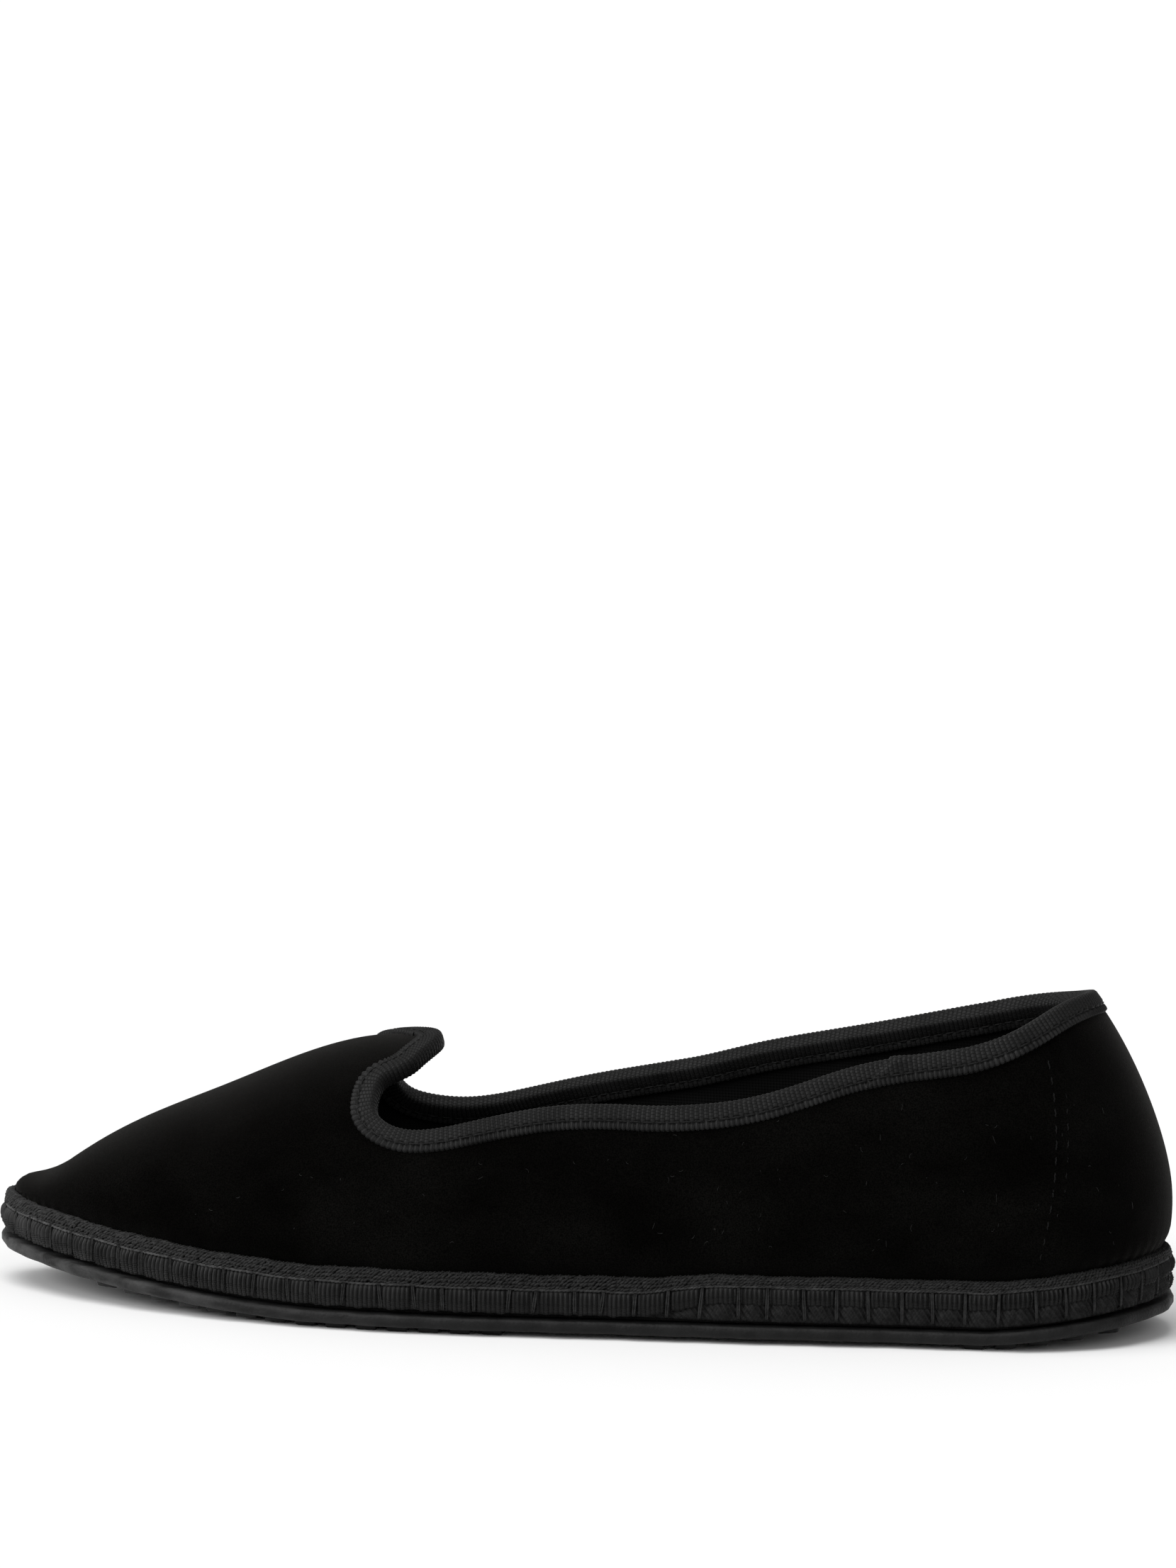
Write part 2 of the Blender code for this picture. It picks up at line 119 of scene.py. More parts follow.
EDGE = (
    # foot, outer along, outer climb, inner along, inner climb
    (180, 1.000, 41.8, 1.000, 41.8),
    (157, 0.965, 41.0, 0.965, 40.4),
    (136, 0.870, 36.0, 0.870, 38.8),
    (119, 0.755, 33.4, 0.755, 35.8),
    (104, 0.645, 29.4, 0.640, 33.7),
    (90, 0.525, 34.0, 0.520, 32.8),
    (80, 0.440, 37.0, 0.435, 33.6),
    (71, 0.378, 38.3, 0.370, 33.6),
    (64, 0.351, 42.5, 0.336, 36.0),
    (54, 0.341, 50.0, 0.318, 43.0),
    (42, 0.342, 57.5, 0.313, 53.0),
    (25, 0.354, 62.5, 0.321, 66.0),
    (-20, 0.369, 70.0, 0.348, 83.0),
    (-90, 0.377, 84.0, 0.377, 84.0),
)
HEEL_EDGE = EDGE[5::-1]
LUG_FIELDS = ((0.10, 0.475), (0.83, 0.975))
PAD_PROFILE = (
    # inset, share of the thickness
    (0.0006, 0.0),
    (0.0006, 0.6),
    (0.0010, 0.92),
    (0.0018, 1.0),
    (0.0060, 1.0),
    (0.0140, 0.97),
)
SOLE_PROFILE = (
    # inset, share of the thickness
    (0.0100, 0.0),
    (0.0009, 0.0),
    (0.0003, 0.12),
    (0.0, 0.30),
    (0.0, 0.72),
    (0.0003, 0.93),
    (0.0009, 1.0),
    (0.0060, 1.0),
)

# Colours turn lighter from the first place along x to the second, towards the toe: partly wear, partly
# painted light falling from the left.
WEAR_AND_LIGHT_FROM = -0.02
WEAR_AND_LIGHT_TO = -0.125

# The velvet: its wall lines fan out from the toe and crowd towards the edge.
FAN_REACH = 0.08
WALL_EASE = 1.6
PUCKER_HEIGHT = 0.00012
PUCKER_FADE = 0.0022
CREASE_FADE = 0.008
CREASES = (
    # place along x, lean per metre of height, depth, half width, from height, to height
    (-0.046, 0.55, -0.00050, 0.0050, 0.006, 0.026),
    (-0.034, 0.40, 0.00040, 0.0045, 0.004, 0.022),
    (0.004, -0.15, -0.00035, 0.0070, 0.004, 0.024),
    (0.052, 0.10, 0.00035, 0.0080, 0.006, 0.030),
    (0.084, -0.20, -0.00030, 0.0060, 0.010, 0.036),
)

# The side seam bows back at half its height, with a row of stitches each side of it.
SEAM_PLACE = 0.1053
SEAM_BOW = 0.0023
SEAM_MIDDLE = 0.0241
SEAM_HALF = 0.0183
SEAM_ROWS = (-0.0011, 0.0011)
SEAM_STITCH = 0.0018
SEAM_PITCH = 0.0032
LINT_COUNT = 150
LINT_RADIUS = 0.000030

# The binding: shares of its leg, and the groove that its stitches draw in.
RIB_PITCH = 0.00100
RIB_HEIGHT = 0.00011
RIB_STEPS = 6
STITCH_PITCH = 0.0026
STITCH_LENGTH = 0.0020
THREAD_RADIUS = 0.00016
OUTER_LEG = (1.0, 0.99, 0.96, 0.90, 0.82, 0.74, 0.66, 0.62, 0.58, 0.50, 0.40, 0.28, 0.14, 0.0)
OUTER_RISE = {1.0: 0.0, 0.99: 0.45, 0.96: 0.72}
INNER_LEG = (0.0, 0.14, 0.30, 0.46, 0.58, 0.62, 0.66, 0.78, 0.92, 0.99, 1.0)
FOLD_STEPS = 7
STITCH_SHARE = 0.62
GROOVE_DEPTH = 0.00030
GROOVE_WIDTH = 0.00028
FLOAT_LENGTH = 0.00062
JOINT_PLACE = 0.792
JOINT_LENGTH = 0.0060
JOINT_HEIGHT = 0.00080
JOINT_SLANT = 1.5

# The tape, its blanket stitch and its knitted border.
BLANKET_PITCH = 0.0068
YARN_RADIUS = 0.00030
KNIT_RADIUS = 0.00030
CORD_SHARE = 0.66
TAPE_OUT = 0.0012
TAPE_LINES = 20
BAND_PITCH = 0.00100
BAND_STEPS = 6
RECESS = 0.0009
KNIT_ROWS = (
    # share of the tape's height, sway, stand from the tape's middle, pitch
    (0.735, 0.045, -0.00010, 0.00190),
    (0.835, 0.050, -0.00022, 0.00165),
    (0.930, 0.050, -0.00042, 0.00180),
    (0.990, 0.030, -0.00105, 0.00170),
)

OUTSOLE_TOP = LUG_DEPTH + OUTSOLE_THICKNESS
MIDSOLE_FOOT = OUTSOLE_TOP + CLEARANCE
MIDSOLE_TOP = MIDSOLE_FOOT + MIDSOLE_THICKNESS
FEATHER_HEIGHT = MIDSOLE_TOP + CLEARANCE
TAPE_FOOT = OUTSOLE_TOP + TAPE_RISE
TAPE_TOP = TAPE_FOOT + TAPE_HEIGHT
HALF = LENGTH / 2
BINDING_TOP = CLEARANCE + BINDING_THICKNESS
BINDING_LEG = BINDING_WIDTH - BINDING_TOP
STITCH_DEPTH = BINDING_LEG * STITCH_SHARE
EDGE_ALONG = [row[1] for row in HEEL_EDGE]
EDGE_OUTER = [math.radians(row[2]) for row in HEEL_EDGE]
EDGE_INNER = [math.radians(row[4]) for row in HEEL_EDGE]


def spline(places, values):
    """Natural cubic through the given places and values, for numbers and arrays."""
    places, values = np.array(places, float), np.array(values, float)
    count = len(places)
    gaps = np.diff(places)
    matrix = np.eye(count)
    right = np.zeros(count)
    for i in range(1, count - 1):
        matrix[i, i - 1 : i + 2] = gaps[i - 1], 2 * (gaps[i - 1] + gaps[i]), gaps[i]
        right[i] = 6 * ((values[i + 1] - values[i]) / gaps[i] - (values[i] - values[i - 1]) / gaps[i - 1])
    bends = np.linalg.solve(matrix, right)

    def at(place):
        place = np.clip(place, places[0], places[-1])
        i = np.clip(np.searchsorted(places, place, side="right") - 1, 0, count - 2)
        gap, ahead, behind = gaps[i], places[i + 1] - place, place - places[i]
        cubic = (bends[i] * ahead**3 + bends[i + 1] * behind**3) / (6 * gap)
        cubic += (values[i] / gap - bends[i] * gap / 6) * ahead
        return cubic + (values[i + 1] / gap - bends[i + 1] * gap / 6) * behind

    return at


def column(rows, place, index):
    return spline([row[place] for row in rows], [row[index] for row in rows])


def side_of_outline(index):
    places = [0.0] + [row[0] for row in OUTLINE] + [1.0]
    values = [row[1] * row[index] / math.sqrt(row[0] * (1 - row[0])) for row in OUTLINE]
    toe, heel = (math.sqrt(2 * radius * LENGTH) for radius in (TOE_RADIUS, HEEL_RADIUS))
    return spline(places, [toe] + values + [heel])


OUTER_SIDE = side_of_outline(2)
INNER_SIDE = side_of_outline(3)
INSTEP_SHARE = column(RIDGE, 0, 1)
BACK_SHARE = column(RIDGE, 0, 2)
RIDGE_SIDEWAYS = column(RIDGE, 0, 3)


def bell(distance, width):
    """1 at no distance, falling softly to 0 past the width."""
    return np.exp(-((distance / width) ** 2))


def smooth(share):
    share = np.clip(share, 0.0, 1.0)
    return share * share * (3 - 2 * share)


def turn_of(along):
    return np.arccos(np.clip(1 - 2 * np.asarray(along, float), -1, 1))


def along_of(turn):
    return (1 - np.cos(turn)) / 2


def along_of_x(x):
    return np.clip(np.asarray(x) / LENGTH + 0.5, 0, 1)


def lift(x):
    along = along_of_x(x)
    toe = np.maximum(TOE_BREAK - along, 0) / TOE_BREAK
    heel = np.maximum(along - HEEL_BREAK, 0) / (1 - HEEL_BREAK)
    return TOE_SPRING * toe**TOE_CURVE + HEEL_BEVEL * heel**HEEL_CURVE


def heel_part(x):
    return smooth((along_of_x(x) - LAYERS_FROM) / LAYERS_EASE)


def stack(x):
    return lift(x) + HEEL_LAYERS * heel_part(x)


def joined(*parts):
    return np.stack(np.broadcast_arrays(*parts), axis=-1)


def raised(plan, height):
    """Points over these places of the plan, at this height."""
    return joined(plan[..., 0], plan[..., 1], height)


def rim(turn):
    """Points of the sole's outline in plan."""
    along = along_of(turn)
    side = np.where(np.sin(turn) >= 0, OUTER_SIDE(along), INNER_SIDE(along))
    swing = TOE_SWING * (1 - along) ** 3
    return joined(LENGTH * (along - 0.5), swing - side * np.sin(turn) / 2)


def outward(turn):
    step = 0.002
    run = rim(turn + step) - rim(turn - step)
    way = joined(run[..., 1], -run[..., 0])
    return way / np.linalg.norm(way, axis=-1, keepdims=True)


def outline(turn, inset):
    return rim(turn) - outward(turn) * np.asarray(inset)[..., None]


def ridge_height(along, inset):
    toe = np.minimum(along * LENGTH / TOE_WALL_DEPTH, 1)
    wall = TOE_WALL_HEIGHT * (1 - (1 - toe) ** TOE_WALL_CURVE) ** (1 / TOE_WALL_CURVE)
    instep = (INSTEP_HEIGHT - TOE_WALL_HEIGHT) * INSTEP_SHARE(along)
    height = np.maximum(wall + instep + (BACK_HEIGHT - TOE_WALL_HEIGHT) * BACK_SHARE(along), 1e-9)
    return height * height / (height + inset)


def ridge_place(along, inset):
    back = 2 * along - 1
    fore = (HALF - UPPER_INSET - inset) * back
    rear = HALF * back - (BACK_LEAN + UPPER_INSET + inset) * back * back
    return joined(np.where(along < 0.5, fore, rear), TOE_SWING * RIDGE_SIDEWAYS(along))


def last(turn, climb, inset=0.0):
    """Points of the upper: round the outline by turn, and over it by climb, 0 to pi."""
    turn, climb = np.broadcast_arrays(np.asarray(turn, float), np.asarray(climb, float))
    along = along_of(turn)
    outer = climb <= math.pi / 2
    around = np.where(outer, turn, 2 * math.pi - turn)
    rise = np.where(outer, climb, math.pi - climb)
    foot = outline(around, UPPER_INSET + inset + 0 * turn)
    ridge = ridge_place(along, inset)
    spread = np.cos(rise)
    base = stack(foot[..., 0])
    level = base + (ridge_height(along, inset) + stack(ridge[..., 0]) - base) * np.sin(rise)
    above = np.maximum(level - base, 0) / SWELL_HEIGHT
    most = SWELL + HEEL_SWELL * BACK_SHARE(along)
    swell = most * above * np.exp(1 - above) * spread
    plan = ridge + (foot - ridge) * spread[..., None] + outward(around) * swell[..., None]
    return raised(plan, TAPE_TOP + level)


def unit(way):
    return way / np.maximum(np.linalg.norm(way, axis=-1, keepdims=True), 1e-12)


def surface_frame(turn, climb):
    step = 0.001
    by_turn = (last(turn + step, climb) - last(turn - step, climb)) / (2 * step)
    by_climb = (last(turn, climb + step) - last(turn, climb - step)) / (2 * step)
    return by_turn, by_climb, unit(np.cross(by_turn, by_climb))


def edge_curves():
    outer = [(180 - r[0], float(turn_of(r[1])), math.radians(r[2])) for r in EDGE]
    inner = [(360 + r[0], float(turn_of(r[3])), math.pi - math.radians(r[4])) for r in reversed(EDGE[:-1])]
    before = (-outer[1][0], 2 * math.pi - outer[1][1], outer[1][2])
    after = (1080 - inner[-2][0], 2 * math.pi - inner[-2][1], inner[-2][2])
    rows = [before] + outer + inner + [after]
    return column(rows, 0, 1), column(rows, 0, 2)


EDGE_TURN, EDGE_CLIMB = edge_curves()


def foot_of(foot):
    """Turn and climb where the wall lines of these feet start."""
    outer = foot >= -90
    turn = np.where(outer, np.maximum(foot, 0), np.maximum(-180 - foot, 0))
    climb = np.where(outer, np.maximum(-foot, 0), 180 - np.maximum(180 + foot, 0))
    return np.radians(turn), np.radians(climb)


def running_length(points, closed=True):
    """Length run at each point, and the whole length."""
    steps = np.linalg.norm(np.diff(points, axis=0), axis=1)
    whole = steps.sum() + (np.linalg.norm(points[0] - points[-1]) if closed else 0.0)
    return np.concatenate([[0.0], np.cumsum(steps)]), whole


def grid_normals(grid):
    """Normals of a closed grid of points: rows run round the shoe, columns up it."""
    along = np.roll(grid, -1, axis=0) - np.roll(grid, 1, axis=0)
    return unit(np.cross(along, np.gradient(grid, axis=1)))


def add_object(name, data):
    made = bpy.data.objects.new(name, data)
    bpy.context.scene.collection.objects.link(made)
    return made


def add_mesh(name, points, faces, finish, corners=None):
    """A piece of the shoe from points and faces. corners are its cloth coordinates."""
    data = bpy.data.meshes.new(name)
    data.from_pydata(np.asarray(points).reshape(-1, 3).tolist(), [], faces)
    if corners is not None:
        data.uv_layers.new(name="cloth").data.foreach_set("uv", corners)
    data.validate()
    return add_piece(name, data, finish)


def add_piece(name, data, finish):
    """Puts a mesh in the scene as a piece that rides on the shoe's one body."""
    data.materials.append(finish)
    data.shade_smooth()
    made = add_object(name, data)
    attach(made, "root")
    return made


def strip_faces(rows, columns, close_rows, close_columns, offset=0):
    """Quads over a grid of points."""
    faces = []
    for a in range(rows if close_rows else rows - 1):
        b = (a + 1) % rows
        for c in range(columns if close_columns else columns - 1):
            d = (c + 1) % columns
            quad = (a * columns + c, b * columns + c, b * columns + d, a * columns + d)
            faces.append(tuple(offset + k for k in quad))
    return faces


def strip_corners(along, across):
    """Cloth coordinates of strip_faces' corners, from those of its lines along and across."""
    across_low, along_low = np.meshgrid(across[:-1], along[:-1])
    across_high, along_high = np.meshgrid(across[1:], along[1:])
    corners = (
        joined(across_low, along_low),
        joined(across_low, along_high),
        joined(across_high, along_high),
        joined(across_high, along_low),
    )
    return np.stack(corners, axis=2).ravel()


def woven_piece(name, rings, cells, steps, finish):
    """A closed tape from its lines, with so many steps to a rib and cells of weave across it."""
    grid = np.stack(rings, axis=1)
    rows, columns = grid.shape[:2]
    corners = strip_corners(np.arange(rows + 1) / steps + 0.5, np.array(cells))
    return add_mesh(name, grid, strip_faces(rows, columns, True, True), finish, corners)


def tubes(paths, radius, sides=6, ply=0.0, ply_pitch=0.002, closed=False):
    """Points and faces of threads along these paths. ply makes them bulge as twisted plies."""
    points, faces = [], []
    for path in paths:
        path = np.asarray(path, float)
        run = np.roll(path, -1, axis=0) - np.roll(path, 1, axis=0) if closed else np.gradient(path, axis=0)
        run = unit(run)
        up = np.where(np.abs(run[:, 2:3]) > 0.9, [[1.0, 0.0, 0.0]], [[0.0, 0.0, 1.0]])
        side = unit(np.cross(run, up))
        lift_way = np.cross(side, run)
        gone, _ = running_length(path)
        taper = np.ones(len(path))
        if not closed:
            taper[0] = taper[-1] = 0.35
        base = len(points)
        angles = 2 * math.pi * np.arange(sides) / sides
        twist = 2 * math.pi * gone[:, None] / ply_pitch
        size = radius * taper[:, None] * (1 + ply * np.cos(2 * (angles[None, :] - twist)))
        ring = (
            path[:, None, :]
            + side[:, None, :] * (size * np.cos(angles))[..., None]
            + lift_way[:, None, :] * (size * np.sin(angles))[..., None]
        )
        points.extend(ring.reshape(-1, 3).tolist())
        faces += strip_faces(len(path), sides, closed, True, base)
        if not closed:
            faces.append(tuple(base + k for k in range(sides))[::-1])
            faces.append(tuple(base + (len(path) - 1) * sides + k for k in range(sides)))
    return np.array(points), faces


# Materials.


def new_material(name, colour, roughness, sheen=0.0, sheen_roughness=0.4, specular=0.5):
    made = bpy.data.materials.new(name)
    made.use_nodes = True
    shader = made.node_tree.nodes["Principled BSDF"]
    values = {
        "Base Color": (*colour, 1),
        "Roughness": roughness,
        "Sheen Weight": sheen,
        "Sheen Roughness": sheen_roughness,
        "Sheen Tint": (1.0, 0.98, 0.95, 1),
        "Specular IOR Level": specular,
    }
    for socket, value in values.items():
        shader.inputs[socket].default_value = value
    return made, made.node_tree, shader


def add_node(tree, kind, place=None, **values):
    """A node with these inputs set. place names the coordinates that it reads."""
    node = tree.nodes.new("ShaderNode" + kind)
    for name, value in values.items():
        node.inputs[name.replace("_", " ")].default_value = value
    if place:
        coordinates = tree.nodes.new("ShaderNodeTexCoord")
        tree.links.new(coordinates.outputs[place], node.inputs["Vector"])
    return node


def noise(tree, scale, detail=3.0, stretch=(1, 1, 1)):
    """Noise in the shoe's own space, at a scale in cycles per metre."""
    mapping = add_node(tree, "Mapping", "Object", Scale=stretch)
    texture = add_node(tree, "TexNoise", Scale=scale, Detail=detail)
    tree.links.new(mapping.outputs["Vector"], texture.inputs["Vector"])
    return texture.outputs["Fac"]


def ramp(tree, factor, stops):
    node = tree.nodes.new("ShaderNodeValToRGB")
    while len(node.color_ramp.elements) < len(stops):
        node.color_ramp.elements.new(0.5)
    for element, (place, value) in zip(node.color_ramp.elements, stops):
        element.position = place
        shade = value if isinstance(value, tuple) else (value, value, value)
        element.color = (*shade, 1)
    tree.links.new(factor, node.inputs["Fac"])
    return node.outputs["Color"]


def blend_colours(tree, factor, first, second, mode="MIX"):
    node = tree.nodes.new("ShaderNodeMix")
    node.data_type = "RGBA"
    node.blend_type = mode
    for name, value in (("Factor", factor), ("A", first), ("B", second)):
        socket = node.inputs[name]
        if isinstance(value, (int, float)):
            socket.default_value = value
        elif isinstance(value, tuple):
            socket.default_value = (*value, 1)
        else:
            tree.links.new(value, socket)
    return node.outputs["Result"]


def add_bump(tree, shader, height, distance, strength=1.0):
    node = add_node(tree, "Bump", Strength=strength, Distance=distance)
    tree.links.new(height, node.inputs["Height"])
    tree.links.new(node.outputs["Normal"], shader.inputs["Normal"])


def towards_toe(tree):
    """0 behind the forefoot, rising to 1 at the toe, where colours are made lighter: partly wear, partly
    painted light falling from the left.
    """
    parts = add_node(tree, "SeparateXYZ", "Object")
    share = add_node(tree, "MapRange", From_Min=WEAR_AND_LIGHT_FROM, From_Max=WEAR_AND_LIGHT_TO)
    tree.links.new(parts.outputs["X"], share.inputs["Value"])
    return share.outputs["Result"]


def weave_gaps(tree):
    """The gaps between a ribbed tape's ribs, and between the short floats of each rib: a mask for their bump
    and their painted shade.
    """
    cells = {"Scale": 1.0, "Brick Width": 1.0, "Row Height": 1.0, "Mortar Size": 0.125, "Mortar Smooth": 0.7}
    return add_node(tree, "TexBrick", "UV", **cells).outputs["Fac"]


def velvet():
    """Black pile: nearly no light face on, a soft sheen at grazing angles, brushed patches and lint."""
    made, tree, shader = new_material("velvet", (0.0022, 0.0021, 0.0019), 0.9, 0.075, 0.35, 0.0)
    patches = ((0.35, (0.0010, 0.0009, 0.0008)), (0.7, (0.0024, 0.0023, 0.0021)))
    brushed = ramp(tree, noise(tree, 45, 4, (1, 1, 1.6)), patches)
    grain = ramp(tree, noise(tree, 3800, 2), ((0.38, 0.50), (0.62, 1.55)))
    brushed = blend_colours(tree, 1.0, brushed, grain, "MULTIPLY")
    lint = add_node(tree, "TexVoronoi", "Object", Scale=260)
    speck = ramp(tree, lint.outputs["Distance"], ((0.0, 1.0), (0.045, 1.0), (0.06, 0.0)))
    seldom = ramp(tree, noise(tree, 420, 1), ((0.63, 0.0), (0.66, 1.0)))
    dots = blend_colours(tree, 1.0, speck, seldom, "MULTIPLY")
    colour = blend_colours(tree, dots, brushed, (0.012, 0.012, 0.011))
    tree.links.new(colour, shader.inputs["Base Color"])
    add_bump(tree, shader, noise(tree, 5200, 2), 0.00012, 0.8)
    return made


def grosgrain(name, low, high, toe_high):
    """Ribbed tape of slightly shiny black thread, with painted shade in the gaps between its ribs, and
    lighter towards the toe, partly as wear and partly as painted light.
    """
    made, tree, shader = new_material(name, (high, high, high), 0.45, 0.02, 0.5, 0.12)
    gaps = weave_gaps(tree)
    worn = ramp(tree, noise(tree, 140, 3), ((0.3, low), (0.75, high)))
    # Lighter towards the toe: partly wear, partly painted light falling from the left.
    lighter = ramp(tree, noise(tree, 300, 3), ((0.3, high), (0.75, toe_high)))
    thread = blend_colours(tree, towards_toe(tree), worn, lighter)
    # Painted shade: the gaps between the ribs and floats are coloured near black.
    colour = blend_colours(tree, gaps, thread, (0.0008, 0.0008, 0.0008))
    tree.links.new(colour, shader.inputs["Base Color"])
    hollow = tree.nodes.new("ShaderNodeMath")
    hollow.operation = "SUBTRACT"
    hollow.inputs[0].default_value = 1.0
    tree.links.new(gaps, hollow.inputs[1])
    add_bump(tree, shader, hollow.outputs[0], 0.00024, 1.0)
    return made


def yarn(name, low, high, roughness, toe_gain=2.0):
    made, tree, shader = new_material(name, (high, high, high), roughness, 0.02, 0.5, 0.10)
    mixed = ramp(tree, noise(tree, 900, 3), ((0.3, low), (0.75, high)))
    # Colour scaled by toe_gain towards the toe: partly wear, partly painted light falling from the left.
    lighter = ramp(tree, noise(tree, 900, 3), ((0.3, 0.9 * toe_gain * low), (0.75, toe_gain * high)))
    tree.links.new(blend_colours(tree, towards_toe(tree), mixed, lighter), shader.inputs["Base Color"])
    add_bump(tree, shader, noise(tree, 4200, 2), 0.00015, 0.9)
    return made


def lining_cloth():
    """Plain weave: two crossed sets of threads."""
    made, tree, shader = new_material("lining", (0.004, 0.004, 0.004), 0.85, 0.02, 0.5, 0.05)
    waves = []
    for direction in ("X", "Z"):
        wave = add_node(tree, "TexWave", "Object", Scale=480)
        wave.bands_direction = direction
        waves.append(wave.outputs["Fac"])
    weave = blend_colours(tree, 0.5, waves[0], waves[1])
    worn = ramp(tree, noise(tree, 70, 4), ((0.3, 0.0025), (0.75, 0.0055)))
    tree.links.new(worn, shader.inputs["Base Color"])
    add_bump(tree, shader, weave, 0.0002, 0.8)
    return made


def rubber():
    """Black rubber, its edge lighter grey towards the toe: partly scuffs, partly painted light falling from
    the left.
    """
    made, tree, shader = new_material("rubber", (0.010, 0.010, 0.0095), 0.5, 0.0, 0.5, 0.16)
    clean = ramp(tree, noise(tree, 300, 5), ((0.3, 0.0028), (0.75, 0.0080)))
    # Lighter grey towards the toe: partly scuffs, partly painted light.
    scuff_and_light = ramp(tree, noise(tree, 330, 8, (0.4, 1, 1.2)), ((0.38, 0.012), (0.64, 0.052)))
    tree.links.new(blend_colours(tree, towards_toe(tree), clean, scuff_and_light), shader.inputs["Base Color"])
    add_bump(tree, shader, noise(tree, 1600, 5), 0.00022, 0.7)
    return made


# The upper.


def upper_feet(side_steps=300, tip_steps=90):
    outer = 180 - 180 * np.arange(side_steps) / side_steps
    tip = -180 * np.arange(tip_steps) / tip_steps
    return np.concatenate([outer, tip, -180 - 180 * np.arange(side_steps) / side_steps])


def wall_grid(feet, shares, inset):
    """Turn and climb of each point of the upper, a row to each wall line."""
    foot_turn, foot_climb = foot_of(feet)
    top_turn, top_climb = EDGE_TURN(180 - feet), EDGE_CLIMB(180 - feet)
    foot_along, top_along = along_of(foot_turn), along_of(top_turn)
    power = 1 + np.maximum(0, 1 - foot_along / FAN_REACH)
    ease = shares[None, :] ** power[:, None]
    turn = turn_of(foot_along[:, None] + (top_along - foot_along)[:, None] * ease)
    straight = foot_turn[:, None] + (top_turn - foot_turn)[:, None] * shares[None, :]
    turn = np.where((foot_turn > math.pi / 2)[:, None], straight, turn)
    climb = foot_climb[:, None] + (top_climb - foot_climb)[:, None] * shares[None, :]
    return turn, climb, last(turn, climb, inset)


def over_tape(points):
    """Height of points over the tape's top."""
    return points[..., 2] - TAPE_TOP - stack(points[..., 0])


def seam_side(points):
    """Distance behind the side seam's line."""
    bow = SEAM_BOW * ((over_tape(points) - SEAM_MIDDLE) / SEAM_HALF) ** 2
    return points[..., 0] - SEAM_PLACE + bow


def soft_relief(points, turn, climb):
    """Soft rises and hollows of the velvet: creases, puckers over the tape and the seam's ridge."""
    x, y, z = points[..., 0], points[..., 1], points[..., 2]
    height = np.maximum(over_tape(points), 0)
    around = np.where(climb <= math.pi / 2, turn, 2 * math.pi - turn) * LENGTH / 2
    puckers = PUCKER_HEIGHT * np.cos(2 * math.pi * around / BLANKET_PITCH) * np.exp(-height / PUCKER_FADE)
    roll = 0.00035 * bell(height - 0.0030, 0.0026) * smooth((x + 0.125) / 0.03)
    drape = 0.00035 * np.sin(95 * x + 40 * z + 0.8) * np.sin(70 * z - 30 * x) * smooth(height / 0.012)
    crease = np.zeros_like(x)
    for place, lean, depth, width, low, high in CREASES:
        across = (x - place) + lean * height
        within = smooth((height - low) / CREASE_FADE) * smooth((high - height) / CREASE_FADE)
        crease += depth * bell(across, width) * within
    near = np.where(y < 0, 1.0, 0.6)
    side = seam_side(points)
    seam = 0.00035 * bell(side - 0.0012, 0.0016) - 0.00045 * bell(side, 0.0005)
    seam = seam * (along_of(turn) > 0.5)
    return puckers + roll + drape + crease * near + seam


def make_upper():
    """Velvet outside and cloth inside, each a sheet of its own with its rolled edge in the binding."""
    feet = upper_feet()
    shares = 1 - (1 - np.linspace(0, 1, 61)) ** WALL_EASE
    turn, climb, points = wall_grid(feet, shares, 0.0)
    normals = grid_normals(points)
    if normals[0, 20, 0] < 0:
        normals = -normals
    relief = soft_relief(points, turn, climb)
    edge = smooth((1 - shares) / 0.10)
    outside = points + normals * (relief * edge[None, :])[..., None]
    foot_turn, foot_climb = foot_of(feet)
    around = np.where(foot_climb <= math.pi / 2, foot_turn, 2 * math.pi - foot_turn)

    def feather(inset):
        plan = outline(around, inset + 0 * around)
        return raised(plan, FEATHER_HEIGHT + stack(plan[:, 0]))

    rows = len(feet)
    top = turn[:, -1], climb[:, -1]
    rim_in = (last(*top) * 0.7 + last(*top, UPPER_WALL) * 0.3)[:, None]
    velvet_grid = np.concatenate([feather(UPPER_INSET)[:, None], outside, rim_in], axis=1)
    faces = strip_faces(rows, velvet_grid.shape[1], True, False)
    shell = add_mesh("velvet_upper", velvet_grid, faces, velvet())
    inside = wall_grid(feet, shares[::2], UPPER_WALL)[2][:, ::-1]
    lining_grid = np.concatenate([rim_in, inside, feather(UPPER_INSET + UPPER_WALL)[:, None]], axis=1)
    faces = strip_faces(rows, lining_grid.shape[1], True, False)
    add_mesh("upper_lining", lining_grid, faces, lining_cloth())
    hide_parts("upper")


# The binding.


def edge_line(count):
    """Turn, climb and run of the upper's edge at evenly spaced places, starting at the heel."""
    fine = np.linspace(0, 540, 4001)[:-1]
    turn, climb = EDGE_TURN(fine), EDGE_CLIMB(fine)
    gone, whole = running_length(last(turn, climb))
    wanted = whole * np.arange(count) / count
    places = np.interp(wanted, gone, fine)
    turn, climb = EDGE_TURN(places), EDGE_CLIMB(places)
    return turn, climb, last(turn, climb), wanted, whole


